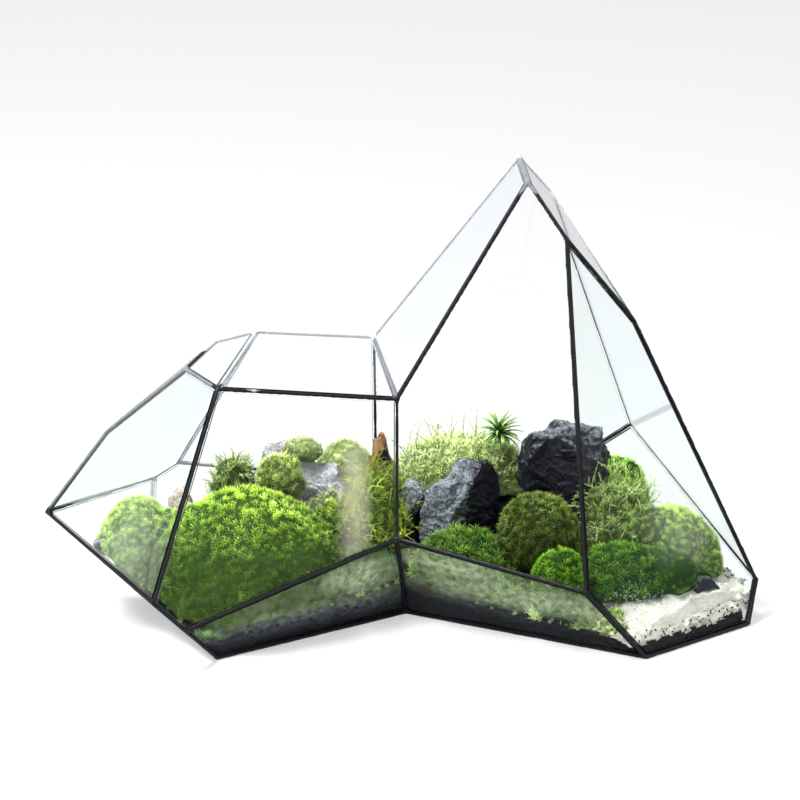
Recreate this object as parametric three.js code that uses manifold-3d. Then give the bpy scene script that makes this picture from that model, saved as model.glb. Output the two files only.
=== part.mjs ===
// A planted glass terrarium: two faceted glass volumes that share a waist, the low one on
// the left and a tall peak on the right, seamed with dark metal along every edge. Inside lie
// a bed of black soil, a drift of pale sand, rocks, driftwood and cushions of moss.
// Millimetres, +Z up. The origin is under the middle of the part, on the surface it stands on.
// X runs along the length, and the front of the terrarium faces -Y.

import * as THREE from 'three';
import { mergeVertices } from 'three/addons/utils/BufferGeometryUtils.js';
import Module from 'manifold-3d';

const wasm = await Module();
wasm.setup();

// Driving dimensions
const GLASS_THICKNESS = 2;
const SEAM_RADIUS = 1.3;
const FOOT_SEAM_RADIUS = 1.6;
const PEAK_SEAM_RADIUS = 2.2;
const NOSE_SEAM_RADIUS = 1.7;
const KNOB_RATIO = 1.2;
const SEAM_SIDES = 5;
const CLEARANCE = 0.3;
const PLANT_TO_GLASS = 1.8;
const SOIL_TO_FLOOR = 1.3;
const FLOOR_MIDDLE = GLASS_THICKNESS / 2;
const STANDING_PLANE = 0;
const BELOW_ALL = -5;
const HELD_CLEAR = 2 * CLEARANCE;
// The turn between neighbours that spreads points evenly over a ball
const GOLDEN_TURN = Math.PI * (3 - Math.sqrt(5));

// The corners where panes meet, as built: [x, y, z]
const CORNERS = {
  waistFrontTop: [-3, -7, 124],
  waistFrontMid: [-3, -36, 55],
  waistFrontFoot: [2, -9, FLOOR_MIDDLE],
  waistBackTop: [-16, 61, 136],
  waistBackMid: [-15, 82, 44],
  waistBackFoot: [-16, 69, FLOOR_MIDDLE],
  peakFront: [67, 17, 239],
  peakBack: [63, 43, 245],
  shoulderFront: [87, -1, 213],
  shoulderBack: [80, 49, 224],
  ridgeEnd: [125, 5, 164],
  noseRight: [193, -11, 21],
  noseFoot: [188, -26, FLOOR_MIDDLE],
  footFrontRight: [130, -71, FLOOR_MIDDLE],
  footBackRight: [39, 84, FLOOR_MIDDLE],
  hipFrontRight: [97, -77, 41],
  hipBackRight: [129, 87, 75],
  heelBackRight: [52, 93, 20],
  roofFrontLeft: [-98, -38, 141],
  roofBackLeft: [-80, 38, 147],
  eaveFrontLeft: [-116, -15, 144],
  eaveBackLeft: [-102, 21, 147],
  browLeft: [-160, -3, 104],
  noseLeft: [-193.5, -7, 59],
  hipFrontLeft: [-131, -93, 41],
  heelFrontLeft: [-115, -93, 26],
  footFrontLeft: [-99, -72, FLOOR_MIDDLE],
  footBackLeft: [-142, 14, FLOOR_MIDDLE],
  hipBackLeft: [-125, 41, 69],
  heelBackLeft: [-137, 34, 63],
};

// The panes of each volume, as rings of corners. The tall front face is left open: it is the
// way in for planting and watering, so it has seams round it and no glass.
const ACCESS_FACE = 'access_face';
const PANES = {
  right: {
    [ACCESS_FACE]: ['waistFrontTop', 'peakFront', 'shoulderFront', 'hipFrontRight', 'waistFrontMid'],
    glass_right_inner_roof: ['waistBackTop', 'waistFrontTop', 'peakFront', 'peakBack'],
    glass_right_outer_roof: ['peakFront', 'shoulderFront', 'ridgeEnd', 'shoulderBack', 'peakBack'],
    glass_right_side: ['shoulderFront', 'ridgeEnd', 'noseRight', 'noseFoot', 'footFrontRight',
      'hipFrontRight'],
    glass_right_lower_front: ['hipFrontRight', 'waistFrontMid', 'waistFrontFoot', 'footFrontRight'],
    glass_right_back: ['waistBackTop', 'peakBack', 'shoulderBack', 'hipBackRight', 'heelBackRight',
      'waistBackMid'],
    glass_right_back_side: ['shoulderBack', 'ridgeEnd', 'noseRight', 'hipBackRight'],
    glass_right_lower_back: ['heelBackRight', 'waistBackMid', 'waistBackFoot', 'footBackRight'],
    glass_right_lower_side: ['hipBackRight', 'noseRight', 'noseFoot', 'footBackRight',
      'heelBackRight'],
    glass_right_floor: ['waistFrontFoot', 'footFrontRight', 'noseFoot', 'footBackRight',
      'waistBackFoot'],
  },
  left: {
    glass_left_roof: ['waistFrontTop', 'roofFrontLeft', 'roofBackLeft', 'waistBackTop'],
    glass_left_eave: ['roofFrontLeft', 'eaveFrontLeft', 'eaveBackLeft', 'roofBackLeft'],
    glass_left_brow: ['eaveFrontLeft', 'browLeft', 'eaveBackLeft'],
    glass_left_front: ['roofFrontLeft', 'waistFrontTop', 'waistFrontMid', 'heelFrontLeft',
      'hipFrontLeft'],
    glass_left_side: ['roofFrontLeft', 'eaveFrontLeft', 'browLeft', 'noseLeft', 'hipFrontLeft'],
    glass_left_lower_front: ['heelFrontLeft', 'waistFrontMid', 'waistFrontFoot', 'footFrontLeft'],
    glass_left_keel: ['noseLeft', 'hipFrontLeft', 'heelFrontLeft', 'footFrontLeft', 'footBackLeft'],
    glass_left_lower_side: ['noseLeft', 'heelBackLeft', 'footBackLeft'],
    glass_left_back_side: ['roofBackLeft', 'eaveBackLeft', 'browLeft', 'noseLeft', 'heelBackLeft',
      'hipBackLeft'],
    glass_left_back: ['roofBackLeft', 'waistBackTop', 'waistBackMid', 'hipBackLeft'],
    glass_left_lower_back: ['heelBackLeft', 'hipBackLeft', 'waistBackMid', 'waistBackFoot',
      'footBackLeft'],
    glass_left_floor: ['waistFrontFoot', 'footFrontLeft', 'footBackLeft', 'waistBackFoot'],
  },
};
const WAIST = ['waistFrontTop', 'waistBackTop', 'waistBackFoot', 'waistFrontFoot'];
const WAIST_RING = ['waistFrontTop', 'waistFrontMid', 'waistFrontFoot', 'waistBackFoot',
  'waistBackMid', 'waistBackTop'];

// Finishes
const FINISH = {
  glass: { color: 0xe6eef0, roughness: 0.05, metalness: 0, transparent: true, opacity: 0.25 },
  seam: { color: 0x17181f, roughness: 0.38, metalness: 0.7 },
  soil: { color: 0x1c1b20, roughness: 0.95, metalness: 0 },
  sand: { color: 0xe2d8c6, roughness: 0.95, metalness: 0 },
  slate: { color: 0x3d4451, roughness: 0.7, metalness: 0 },
  greyRock: { color: 0x8b8a8c, roughness: 0.85, metalness: 0 },
  pinkStone: { color: 0xcdb9ae, roughness: 0.8, metalness: 0 },
  wood: { color: 0x8a5a34, roughness: 0.85, metalness: 0 },
  brightMoss: { color: 0x6ea52c, roughness: 0.9, metalness: 0 },
  paleMoss: { color: 0x93ad57, roughness: 0.9, metalness: 0 },
  deepMoss: { color: 0x3f7424, roughness: 0.9, metalness: 0 },
  oliveMoss: { color: 0x7f8c34, roughness: 0.9, metalness: 0 },
  starMoss: { color: 0x3f8f3a, roughness: 0.75, metalness: 0 },
};
const materials = Object.fromEntries(Object.entries(FINISH).map(([name, values]) => {
  const material = new THREE.MeshStandardMaterial(values);
  material.name = name;
  return [name, material];
}));

const corner = (name) => new THREE.Vector3(...CORNERS[name]);

// Random numbers from 0 to 1 that are the same in every build
const RANDOM_FACTOR = 48271;
const RANDOM_LIMIT = 2147483647;
const RANDOM_SPREAD = 7919;

function seededRandom(seed) {
  let state = seed * RANDOM_SPREAD + 1;
  return () => {
    state = (state * RANDOM_FACTOR) % RANDOM_LIMIT;
    return state / RANDOM_LIMIT;
  };
}

// A direction from the middle of a ball: its height from -1 to 1 and its turn round the ball
function ballDirection(height, turn) {
  const ring = Math.sqrt(Math.max(0, 1 - height * height));
  return new THREE.Vector3(ring * Math.cos(turn), ring * Math.sin(turn), height);
}

// Solids

function toSolid(geometry) {
  const bare = geometry.clone();
  bare.deleteAttribute('normal');
  bare.deleteAttribute('uv');
  const merged = mergeVertices(bare, 1e-4);
  return new wasm.Manifold(new wasm.Mesh({
    numProp: 3,
    vertProperties: new Float32Array(merged.attributes.position.array),
    triVerts: new Uint32Array(merged.index.array),
  }));
}

function toGeometry(solid) {
  const mesh = solid.getMesh();
  const geometry = new THREE.BufferGeometry();
  geometry.setAttribute('position', new THREE.BufferAttribute(mesh.vertProperties, 3));
  geometry.setIndex(new THREE.BufferAttribute(mesh.triVerts, 1));
  geometry.computeVertexNormals();
  return geometry;
}

const joined = (solids) => solids.reduce((whole, piece) => whole.add(piece));

function largestBody(solid) {
  const bodies = solid.decompose();
  return bodies.reduce((best, body) => (body.volume() > best.volume() ? body : best));
}

// Panes

function paneFrame(names, inside) {
  const points = names.map(corner);
  const middle = points.reduce((sum, p) => sum.add(p), new THREE.Vector3())
    .divideScalar(points.length);
  const normal = new THREE.Vector3();
  points.forEach((p, i) => {
    const q = points[(i + 1) % points.length];
    normal.add(p.clone().sub(middle).cross(q.clone().sub(middle)));
  });
  normal.normalize();
  const outward = normal.dot(middle.clone().sub(inside)) > 0;
  if (!outward) {
    normal.negate();
    points.reverse();
  }
  return { middle, normal, points, names: outward ? names : [...names].reverse() };
}

function sectionMiddle(section) {
  const names = new Set(Object.values(PANES[section]).flat());
  const sum = new THREE.Vector3();
  names.forEach((name) => sum.add(corner(name)));
  return sum.divideScalar(names.size);
}

const edgeKey = (a, b) => [a, b].sort().join('-');
const HEAVY_SEAMS = {
  [edgeKey('peakFront', 'peakBack')]: PEAK_SEAM_RADIUS,
  [edgeKey('noseRight', 'noseFoot')]: NOSE_SEAM_RADIUS,
  [edgeKey('waistFrontTop', 'waistBackTop')]: NOSE_SEAM_RADIUS,
};
const isFoot = (name) => CORNERS[name][2] === FLOOR_MIDDLE;

function seamRadius(a, b) {
  if (isFoot(a) && isFoot(b)) return FOOT_SEAM_RADIUS;
  return HEAVY_SEAMS[edgeKey(a, b)] ?? SEAM_RADIUS;
}

// A pane is its ring of corners drawn in from the seams, laid in one plane and given the
// thickness of the glass.
function paneGeometry(names, inside) {
  const frame = paneFrame(names, inside);
  const across = frame.points[1].clone().sub(frame.points[0]).normalize();
  across.addScaledVector(frame.normal, -across.dot(frame.normal)).normalize();
  const up = new THREE.Vector3().crossVectors(frame.normal, across);
  const flat = frame.points.map((p) => {
    const arm = p.clone().sub(frame.middle);
    return new THREE.Vector2(arm.dot(across), arm.dot(up));
  });
  const sides = flat.map((p, i) => {
    const j = (i + 1) % flat.length;
    const along = flat[j].clone().sub(p).normalize();
    const inward = new THREE.Vector2(-along.y, along.x);
    const inset = seamRadius(frame.names[i], frame.names[j]) + CLEARANCE;
    return { start: p.clone().addScaledVector(inward, inset), along };
  });
  const outline = sides.map((side, i) => {
    const before = sides[(i + sides.length - 1) % sides.length];
    const arm = side.start.clone().sub(before.start);
    const reach = arm.cross(side.along) / before.along.cross(side.along);
    return before.start.clone().addScaledVector(before.along, reach);
  });
  const geometry = new THREE.ExtrudeGeometry(new THREE.Shape(outline), {
    depth: GLASS_THICKNESS,
    bevelEnabled: false,
  });
  geometry.translate(0, 0, -GLASS_THICKNESS / 2);
  geometry.applyMatrix4(new THREE.Matrix4().makeBasis(across, up, frame.normal));
  return geometry.translate(frame.middle.x, frame.middle.y, frame.middle.z);
}

// Seams

function rod(start, end, startRadius, endRadius, sides) {
  const axis = end.clone().sub(start);
  const geometry = new THREE.CylinderGeometry(endRadius, startRadius, axis.length(), sides, 1);
  geometry.applyQuaternion(
    new THREE.Quaternion().setFromUnitVectors(new THREE.Vector3(0, 1, 0), axis.normalize()),
  );
  const middle = start.clone().add(end).multiplyScalar(0.5);
  return geometry.translate(middle.x, middle.y, middle.z);
}

function seamNet() {
  const seams = new Map();
  Object.values(PANES).forEach((section) => Object.values(section).forEach((names) => {
    names.forEach((a, i) => {
      const b = names[(i + 1) % names.length];
      seams.set(edgeKey(a, b), [a, b]);
    });
  }));
  const knobs = {};
  const rods = [...seams.values()].map(([a, b]) => {
    const radius = seamRadius(a, b);
    knobs[a] = Math.max(knobs[a] ?? 0, radius);
    knobs[b] = Math.max(knobs[b] ?? 0, radius);
    return toSolid(rod(corner(a), corner(b), radius, radius, SEAM_SIDES));
  });
  const blobs = Object.entries(knobs).map(([name, radius]) => {
    const blob = new THREE.OctahedronGeometry(radius * KNOB_RATIO, 0);
    return toSolid(blob.translate(...CORNERS[name]));
  });
  return joined([...rods, ...blobs]).trimByPlane([0, 0, 1], STANDING_PLANE);
}

// The room inside the glass

const ROOM_BOX = [500, 400, 600];
const LEFT_OF_ALL = new THREE.Vector3(-400, 0, 60);
const WAIST_SEAM_SIDES = 8;

function sectionRoom(section, waistSide) {
  const inside = sectionMiddle(section);
  let room = toSolid(new THREE.BoxGeometry(...ROOM_BOX));
  Object.values(PANES[section]).forEach((names) => {
    const { middle, normal } = paneFrame(names, inside);
    const inset = names.every(isFoot) ? SOIL_TO_FLOOR : PLANT_TO_GLASS;
    room = room.trimByPlane(normal.clone().negate().toArray(), inset - normal.dot(middle));
  });
  const waist = paneFrame(WAIST, LEFT_OF_ALL);
  const toward = waist.normal.clone().multiplyScalar(waistSide);
  return room.trimByPlane(toward.toArray(), toward.dot(waist.middle) - CLEARANCE);
}

// The seams round the waist stand into the room, so they are cut from it
function waistSeams(margin) {
  return joined(WAIST_RING.map((a, i) => {
    const b = WAIST_RING[(i + 1) % WAIST_RING.length];
    const radius = seamRadius(a, b) * KNOB_RATIO + margin;
    return toSolid(rod(corner(a), corner(b), radius, radius, WAIST_SEAM_SIDES));
  }));
}

const room = sectionRoom('right', 1).add(sectionRoom('left', -1)).subtract(waistSeams(CLEARANCE));

// The ground

const HILLS = [
  { at: [30, 38], spread: [70, 42], rise: 37 },
  { at: [-88, 2], spread: [52, 44], rise: 24 },
];
const GROUND_LOW = 11.5;
const GROUND_TILT = 0.13;
const GROUND_TILT_FROM = -60;
const GROUND_CELLS = [26, 13];
const GROUND_BOX = [400, 200];
// Ripples in the ground: their height, and how often they come along X and Y
const RIPPLES = [
  { height: 0.7, alongX: 0.21, alongY: 0.27 },
  { height: 0.5, alongX: 0.47, alongY: -0.39 },
];

function groundHeight(x, y) {
  const tilt = GROUND_TILT * Math.max(0, y - GROUND_TILT_FROM);
  const hills = HILLS.reduce((sum, hill) => {
    const dx = (x - hill.at[0]) / hill.spread[0];
    const dy = (y - hill.at[1]) / hill.spread[1];
    return sum + hill.rise * Math.exp(-dx * dx - dy * dy);
  }, 0);
  const ripples = RIPPLES.reduce((sum, { height, alongX, alongY }) => (
    sum + height * Math.sin(x * alongX + y * alongY)
  ), 0);
  return GROUND_LOW + tilt + hills + ripples;
}

// A block whose top is shaped by a height at each place
function blockUnder(topHeight, [length, width], cells, [x, y]) {
  const block = new THREE.BoxGeometry(length, width, 1, ...cells, 1).translate(x, y, 0);
  const position = block.attributes.position;
  for (let i = 0; i < position.count; i += 1) {
    const top = topHeight(position.getX(i), position.getY(i));
    position.setZ(i, position.getZ(i) > 0 ? top : BELOW_ALL);
  }
  return toSolid(block);
}

const groundBlock = (lift) => (
  blockUnder((x, y) => groundHeight(x, y) + lift, GROUND_BOX, GROUND_CELLS, [0, 0])
);
const ground = groundBlock(0);
const overGround = groundBlock(CLEARANCE);

// The sand lies over the soil in the front right corner, deepest against the moss behind it
const SAND = { at: [141, -25], reach: [54, 35], turn: 0.66, deepest: 10, rim: 1, round: 1.5,
  box: [110, 100], cells: [15, 14], sides: 20 };

function sandLayer(grow) {
  const [x, y] = SAND.at;
  const along = new THREE.Vector2(Math.cos(SAND.turn), Math.sin(SAND.turn));
  const surface = (px, py) => {
    const arm = new THREE.Vector2(px - x, py - y);
    const away = Math.hypot(arm.dot(along) / SAND.reach[0], arm.cross(along) / SAND.reach[1]);
    const depth = SAND.deepest * Math.max(0, 1 - away * away) ** SAND.round;
    return groundHeight(px, py) + SAND.rim + depth + grow;
  };
  const block = blockUnder(surface, SAND.box, SAND.cells, SAND.at);
  const footprint = new THREE.CylinderGeometry(1, 1, GROUND_BOX[1], SAND.sides)
    .rotateX(Math.PI / 2)
    .scale(SAND.reach[0] + grow, SAND.reach[1] + grow, 1)
    .rotateZ(SAND.turn)
    .translate(x, y, 0);
  return block.intersect(toSolid(footprint));
}

// Moss cushions

// Waves over a ball: how often they come along each axis, their share, and how their place
// shifts from one cushion to the next. The slow ones swell a cushion unevenly.
const SWELLS = [
  { along: [2.6, 0, 0], share: 0.4, shift: 1 },
  { along: [0, 3.1, 2.1], share: 0.35, shift: 1.7 },
  { along: [-3.7, 0, 4.9], share: 0.25, shift: 2.3 },
];
// The quick ones make its tufts
const TUFTS = [
  { along: [37, 11, -23], share: 0.5, shift: 3.1 },
  { along: [-13, 31, 29], share: 0.5, shift: 4.7 },
];

function waves(list, direction, seed) {
  return list.reduce((sum, { along, share, shift }) => (
    sum + share * Math.sin(direction.dot(new THREE.Vector3(...along)) + seed * shift)
  ), 0);
}

// A cushion is a ball stretched to its radii, swollen unevenly, with a tufted skin. Grown a
// little, it is what its neighbours are held clear of.
function cushionGeometry({ at, radii, seed, tuft, lump = 0.07, detail }, grow) {
  const geometry = new THREE.IcosahedronGeometry(1, detail);
  const position = geometry.attributes.position;
  const reach = (radii[0] + radii[1] + radii[2]) / 3;
  for (let i = 0; i < position.count; i += 1) {
    const direction = new THREE.Vector3().fromBufferAttribute(position, i).normalize();
    const skin = tuft * (1 + waves(TUFTS, direction, seed)) / 2 + grow;
    const scale = 1 + lump * waves(SWELLS, direction, seed) + skin / reach;
    position.setXYZ(
      i,
      at[0] + direction.x * radii[0] * scale,
      at[1] + direction.y * radii[1] * scale,
      at[2] + direction.z * radii[2] * scale,
    );
  }
  return geometry;
}

const CUSHIONS = [
  { name: 'moss_mound_left', finish: 'brightMoss', at: [-84, -30, 20], radii: [55, 40, 60], seed: 1,
    tuft: 2.2, detail: 6, lump: 0.04 },
  { name: 'moss_dome_far_left', finish: 'paleMoss', at: [-143, -12, 26], radii: [27, 28, 42], seed: 2,
    tuft: 1.8, detail: 4 },
  { name: 'moss_ball_left', finish: 'brightMoss', at: [-66, -3, 76], radii: [14, 13, 14], seed: 3,
    tuft: 1.4, detail: 3 },
  { name: 'moss_back_left', finish: 'paleMoss', at: [-30, 43, 46], radii: [21, 20, 36], seed: 4,
    tuft: 2, detail: 4 },
  { name: 'moss_low_waist', finish: 'deepMoss', at: [-24, -24, 24], radii: [24, 18, 24], seed: 5,
    tuft: 2, detail: 4 },
  { name: 'moss_ball_olive', finish: 'oliveMoss', at: [73, -21, 49], radii: [23, 20, 26], seed: 6,
    tuft: 2.4, detail: 4, lump: 0.05 },
  { name: 'moss_dome_front', finish: 'brightMoss', at: [84, -50, 32], radii: [16, 15, 22], seed: 7,
    tuft: 1.8, detail: 3 },
  { name: 'moss_ball_back_right', finish: 'deepMoss', at: [119, 37, 50], radii: [18, 15, 25], seed: 8,
    tuft: 1.8, detail: 3 },
  { name: 'moss_dome_right', finish: 'brightMoss', at: [149, -6, 24], radii: [27, 24, 38], seed: 9,
    tuft: 2, detail: 4 },
  { name: 'moss_front_right', finish: 'brightMoss', at: [120, -32, 22], radii: [29, 17, 29], seed: 10,
    tuft: 2.2, detail: 4 },
];

// Bushy moss: a cushion core with blades standing out of it
const BUSHES = [
  { name: 'moss_hill_back', finish: 'paleMoss', at: [34, 46, 46], radii: [44, 26, 40], seed: 21,
    tuft: 2, detail: 4, blades: 20, length: [6, 12], lean: 0.9, width: 1.1 },
  { name: 'moss_grass_centre', finish: 'deepMoss', at: [38, -27, 22], radii: [36, 27, 33], seed: 22,
    tuft: 1.8, detail: 4, blades: 16, length: [5, 9], lean: 0.6, width: 1.1 },
  { name: 'moss_tuft_back_left', finish: 'deepMoss', at: [-92, 14, 56], radii: [14, 12, 28], seed: 23,
    tuft: 1.4, detail: 2, blades: 18, length: [8, 13], lean: 0.8, width: 1.1 },
  { name: 'moss_crumb_left', finish: 'brightMoss', at: [-56, 21, 84], radii: [12, 8, 6], seed: 24,
    tuft: 1, detail: 1, blades: 12, length: [4, 7], lean: 0.8, width: 1 },
];

// Strand moss: a small core with forked strands that arch out of it
const STRANDS = [
  { name: 'strand_moss_left', finish: 'paleMoss', at: [-38, -10, 48], radii: [15, 13, 20], seed: 31,
    strands: 6, length: [12, 20], rise: 0.7 },
  { name: 'strand_moss_waist', finish: 'brightMoss', at: [-14, -2, 52], radii: [12, 13, 26], seed: 32,
    strands: 7, length: [12, 22], rise: 1.2 },
  { name: 'strand_moss_right', finish: 'paleMoss', at: [117, 2, 42], radii: [21, 20, 28], seed: 33,
    strands: 9, length: [14, 26], rise: 0.5 },
];

const TIP_RADIUS = 0.35;
const BLADE_SIDES = 3;
// How far down a bush its blades go, as a share of its height, and how deep they are rooted
const BLADE_SPREAD = 0.85;
const BLADE_ROOT = 0.93;
const BLADE_RISE = 0.35;

const onBall = (at, radii, direction, share) => new THREE.Vector3(...at).add(
  direction.clone().multiply(new THREE.Vector3(...radii)).multiplyScalar(share),
);

function bladesOver({ at, radii, seed, blades, length, lean, width }, grow) {
  const random = seededRandom(seed);
  const between = (low, high) => low + (high - low) * random();
  return Array.from({ length: blades }, (_, i) => {
    const height = 1 - ((i + 0.5) / blades) * BLADE_SPREAD;
    const direction = ballDirection(height, i * GOLDEN_TURN + between(-0.3, 0.3));
    const root = onBall(at, radii, direction, BLADE_ROOT);
    direction.z += BLADE_RISE;
    direction.x += between(-lean, lean) / 2;
    direction.y += between(-lean, lean) / 2;
    const reach = between(...length) + radii[0] * (1 - BLADE_ROOT);
    const tip = root.clone().addScaledVector(direction.normalize(), reach);
    return toSolid(rod(root, tip, width + grow, TIP_RADIUS + grow, BLADE_SIDES));
  });
}

const STRAND_RADIUS = 0.8;
const FORK_RADIUS = 0.7;
const STRAND_STEPS = 3;
const STRAND_SPREAD = 0.8;
const STRAND_ROOT = 0.85;
// How far a strand may bend to each side, down and up in one step
const STRAND_SWAY = 0.45;
const STRAND_DROOP = 0.35;
const STRAND_LIFT = 0.15;

function triangle(radius) {
  const corners = [0, 1, 2].map((k) => {
    const turn = (k * 2 * Math.PI) / 3;
    return new THREE.Vector2(radius * Math.cos(turn), radius * Math.sin(turn));
  });
  return new THREE.Shape(corners);
}

function strandsOver({ at, radii, seed, strands, length, rise }, grow) {
  const section = triangle(STRAND_RADIUS + grow);
  const random = seededRandom(seed);
  const between = (low, high) => low + (high - low) * random();
  const pieces = [];
  for (let i = 0; i < strands; i += 1) {
    const height = 1 - ((i + 0.5) / strands) * STRAND_SPREAD;
    const heading = ballDirection(height, i * GOLDEN_TURN + between(-0.4, 0.4));
    const route = [onBall(at, radii, heading, STRAND_ROOT)];
    heading.z += rise;
    heading.normalize();
    const step = between(...length) / STRAND_STEPS;
    for (let k = 0; k < STRAND_STEPS; k += 1) {
      heading.x += between(-STRAND_SWAY, STRAND_SWAY);
      heading.y += between(-STRAND_SWAY, STRAND_SWAY);
      heading.z += between(-STRAND_DROOP, STRAND_LIFT);
      heading.normalize();
      route.push(route[k].clone().addScaledVector(heading, step));
    }
    const extrudePath = new THREE.CatmullRomCurve3(route);
    const strand = new THREE.ExtrudeGeometry(section, { steps: STRAND_STEPS, extrudePath });
    pieces.push(toSolid(strand));
    const side = new THREE.Vector3(between(-1, 1), between(-1, 1), between(0, 1)).normalize();
    const forking = route[STRAND_STEPS - 1];
    const fork = forking.clone().addScaledVector(heading.clone().add(side).normalize(), step);
    pieces.push(toSolid(rod(forking, fork, FORK_RADIUS + grow, TIP_RADIUS + grow, BLADE_SIDES)));
  }
  return pieces;
}

// The star-shaped moss plant: needles that radiate from a short stem
const STAR = { at: [53, 38, 90], stem: 12, stemRadius: 1.3, stemSides: 5, heart: 2.6, needles: 22,
  reach: 12.5, shortest: 0.85, spread: 1.45, width: 0.8, seed: 41 };

function starPlant() {
  const heart = new THREE.Vector3(...STAR.at);
  const foot = heart.clone().add(new THREE.Vector3(0, 0, -STAR.stem));
  const ball = new THREE.IcosahedronGeometry(STAR.heart, 0).translate(...STAR.at);
  const stem = rod(foot, heart, STAR.stemRadius, STAR.stemRadius, STAR.stemSides);
  const pieces = [toSolid(ball), toSolid(stem)];
  const random = seededRandom(STAR.seed);
  for (let i = 0; i < STAR.needles; i += 1) {
    const height = 1 - ((i + 0.5) / STAR.needles) * STAR.spread;
    const direction = ballDirection(height, i * GOLDEN_TURN + (random() - 0.5) / 3);
    const share = STAR.shortest + (1 - STAR.shortest) * random();
    const tip = heart.clone().addScaledVector(direction, STAR.reach * share);
    const root = heart.clone().addScaledVector(direction, STAR.heart / 3);
    pieces.push(toSolid(rod(root, tip, STAR.width, TIP_RADIUS, BLADE_SIDES)));
  }
  return joined(pieces);
}

// Rocks: blocks cleft along flat faces, from a rough box cut by slanting planes. A cut lies at
// a share of the way out to the egg that fits the block, and slants up more often than down.
const CUT_SHARE = [0.82, 1.12];
const CUT_SLANT = [-0.45, 1.05];

function cleftBlock({ at, half, turn = 0, tip = 0, cuts, seed }, grow) {
  const size = half.map((reach) => 2 * (reach + grow));
  let block = toSolid(new THREE.BoxGeometry(...size));
  const random = seededRandom(seed);
  const between = (low, high) => low + (high - low) * random();
  for (let i = 0; i < cuts; i += 1) {
    const around = i * GOLDEN_TURN + random();
    const toward = new THREE.Vector3(Math.cos(around), Math.sin(around), between(...CUT_SLANT));
    toward.normalize();
    const reach = Math.hypot(toward.x * half[0], toward.y * half[1], toward.z * half[2]);
    const depth = reach * between(...CUT_SHARE) + grow;
    block = block.trimByPlane(toward.clone().negate().toArray(), -depth);
  }
  return block.rotate([tip, 0, turn]).translate(at);
}

const ROCKS = [
  { name: 'rock_slate_right', finish: 'slate', blocks: [
    { at: [90, 20, 72], half: [20, 14, 32], turn: -8, tip: -4, cuts: 9, seed: 51 },
    { at: [76, 17, 82], half: [12, 9, 19], turn: 14, tip: 3, cuts: 7, seed: 52 },
    { at: [104, 24, 74], half: [9, 9, 18], turn: -24, tip: 0, cuts: 7, seed: 59 }] },
  { name: 'rock_slate_left', finish: 'slate', blocks: [
    { at: [36, 8, 60], half: [17, 12, 27], turn: 18, tip: 6, cuts: 9, seed: 53 },
    { at: [22, 4, 54], half: [13, 9, 20], turn: -10, tip: 0, cuts: 7, seed: 54 }] },
  { name: 'rock_slate_small', finish: 'slate', blocks: [
    { at: [5, 7, 54], half: [8, 9, 18], turn: 24, tip: 4, cuts: 8, seed: 55 }] },
  { name: 'rock_grey_left', finish: 'greyRock', blocks: [
    { at: [-62, 23, 64], half: [19, 12, 22], turn: 6, tip: -3, cuts: 9, seed: 56 },
    { at: [-42, 21, 60], half: [12, 10, 18], turn: -18, tip: 0, cuts: 8, seed: 57 }] },
  { name: 'stone_pink', finish: 'pinkStone', blocks: [
    { at: [-121, 11, 55], half: [7, 5.5, 13], turn: 12, tip: -6, cuts: 9, seed: 58 }] },
  { name: 'stone_far_left', finish: 'slate', blocks: [
    { at: [-164, -20, 43], half: [4.5, 4, 6], turn: 30, tip: 0, cuts: 8, seed: 60 }] },
  { name: 'stone_right', finish: 'slate', blocks: [
    { at: [165, -30, 22], half: [9, 6, 8], turn: 12, tip: 0, cuts: 8, seed: 61 }] },
  { name: 'driftwood', finish: 'wood', blocks: [
    { at: [-12, 22, 66], half: [6, 7, 27], turn: 10, tip: 6, cuts: 7, seed: 62 },
    { at: [-7, 20, 74], half: [5, 5, 14], turn: -20, tip: 22, cuts: 6, seed: 63 },
    { at: [-15, 18, 70], half: [3.5, 5, 22], turn: 30, tip: -8, cuts: 6, seed: 64 }] },
];

// Assembly

const group = new THREE.Group();

function place(name, solid, finish) {
  const mesh = new THREE.Mesh(toGeometry(solid), materials[finish]);
  mesh.name = name;
  group.add(mesh);
}

Object.entries(PANES).forEach(([section, panes]) => {
  const inside = sectionMiddle(section);
  Object.entries(panes).forEach(([name, names]) => {
    if (name === ACCESS_FACE) return;
    place(name, toSolid(paneGeometry(names, inside)), 'glass');
  });
});
place('seam_net', seamNet(), 'seam');
place('soil_bed', largestBody(ground.intersect(room)), 'soil');

// Each piece that is set on the ground is cut to sit on it, and clear of what is there already
let occupied = overGround;

function plant(name, finish, solid, envelope) {
  place(name, largestBody(solid.intersect(room).subtract(occupied)), finish);
  occupied = occupied.add(envelope);
}

plant('sand_drift', 'sand', sandLayer(0), sandLayer(CLEARANCE));

ROCKS.forEach(({ name, finish, blocks }) => {
  const solid = joined(blocks.map((block) => cleftBlock(block, 0)));
  const envelope = joined(blocks.map((block) => cleftBlock(block, CLEARANCE)));
  plant(name, finish, solid, envelope);
});

CUSHIONS.forEach((spec) => {
  const envelope = toSolid(cushionGeometry(spec, HELD_CLEAR));
  plant(spec.name, spec.finish, toSolid(cushionGeometry(spec, 0)), envelope);
});

BUSHES.forEach((spec) => {
  const bush = [toSolid(cushionGeometry(spec, 0)), ...bladesOver(spec, 0)];
  const envelope = [toSolid(cushionGeometry(spec, HELD_CLEAR)), ...bladesOver(spec, HELD_CLEAR)];
  plant(spec.name, spec.finish, joined(bush), joined(envelope));
});

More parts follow.
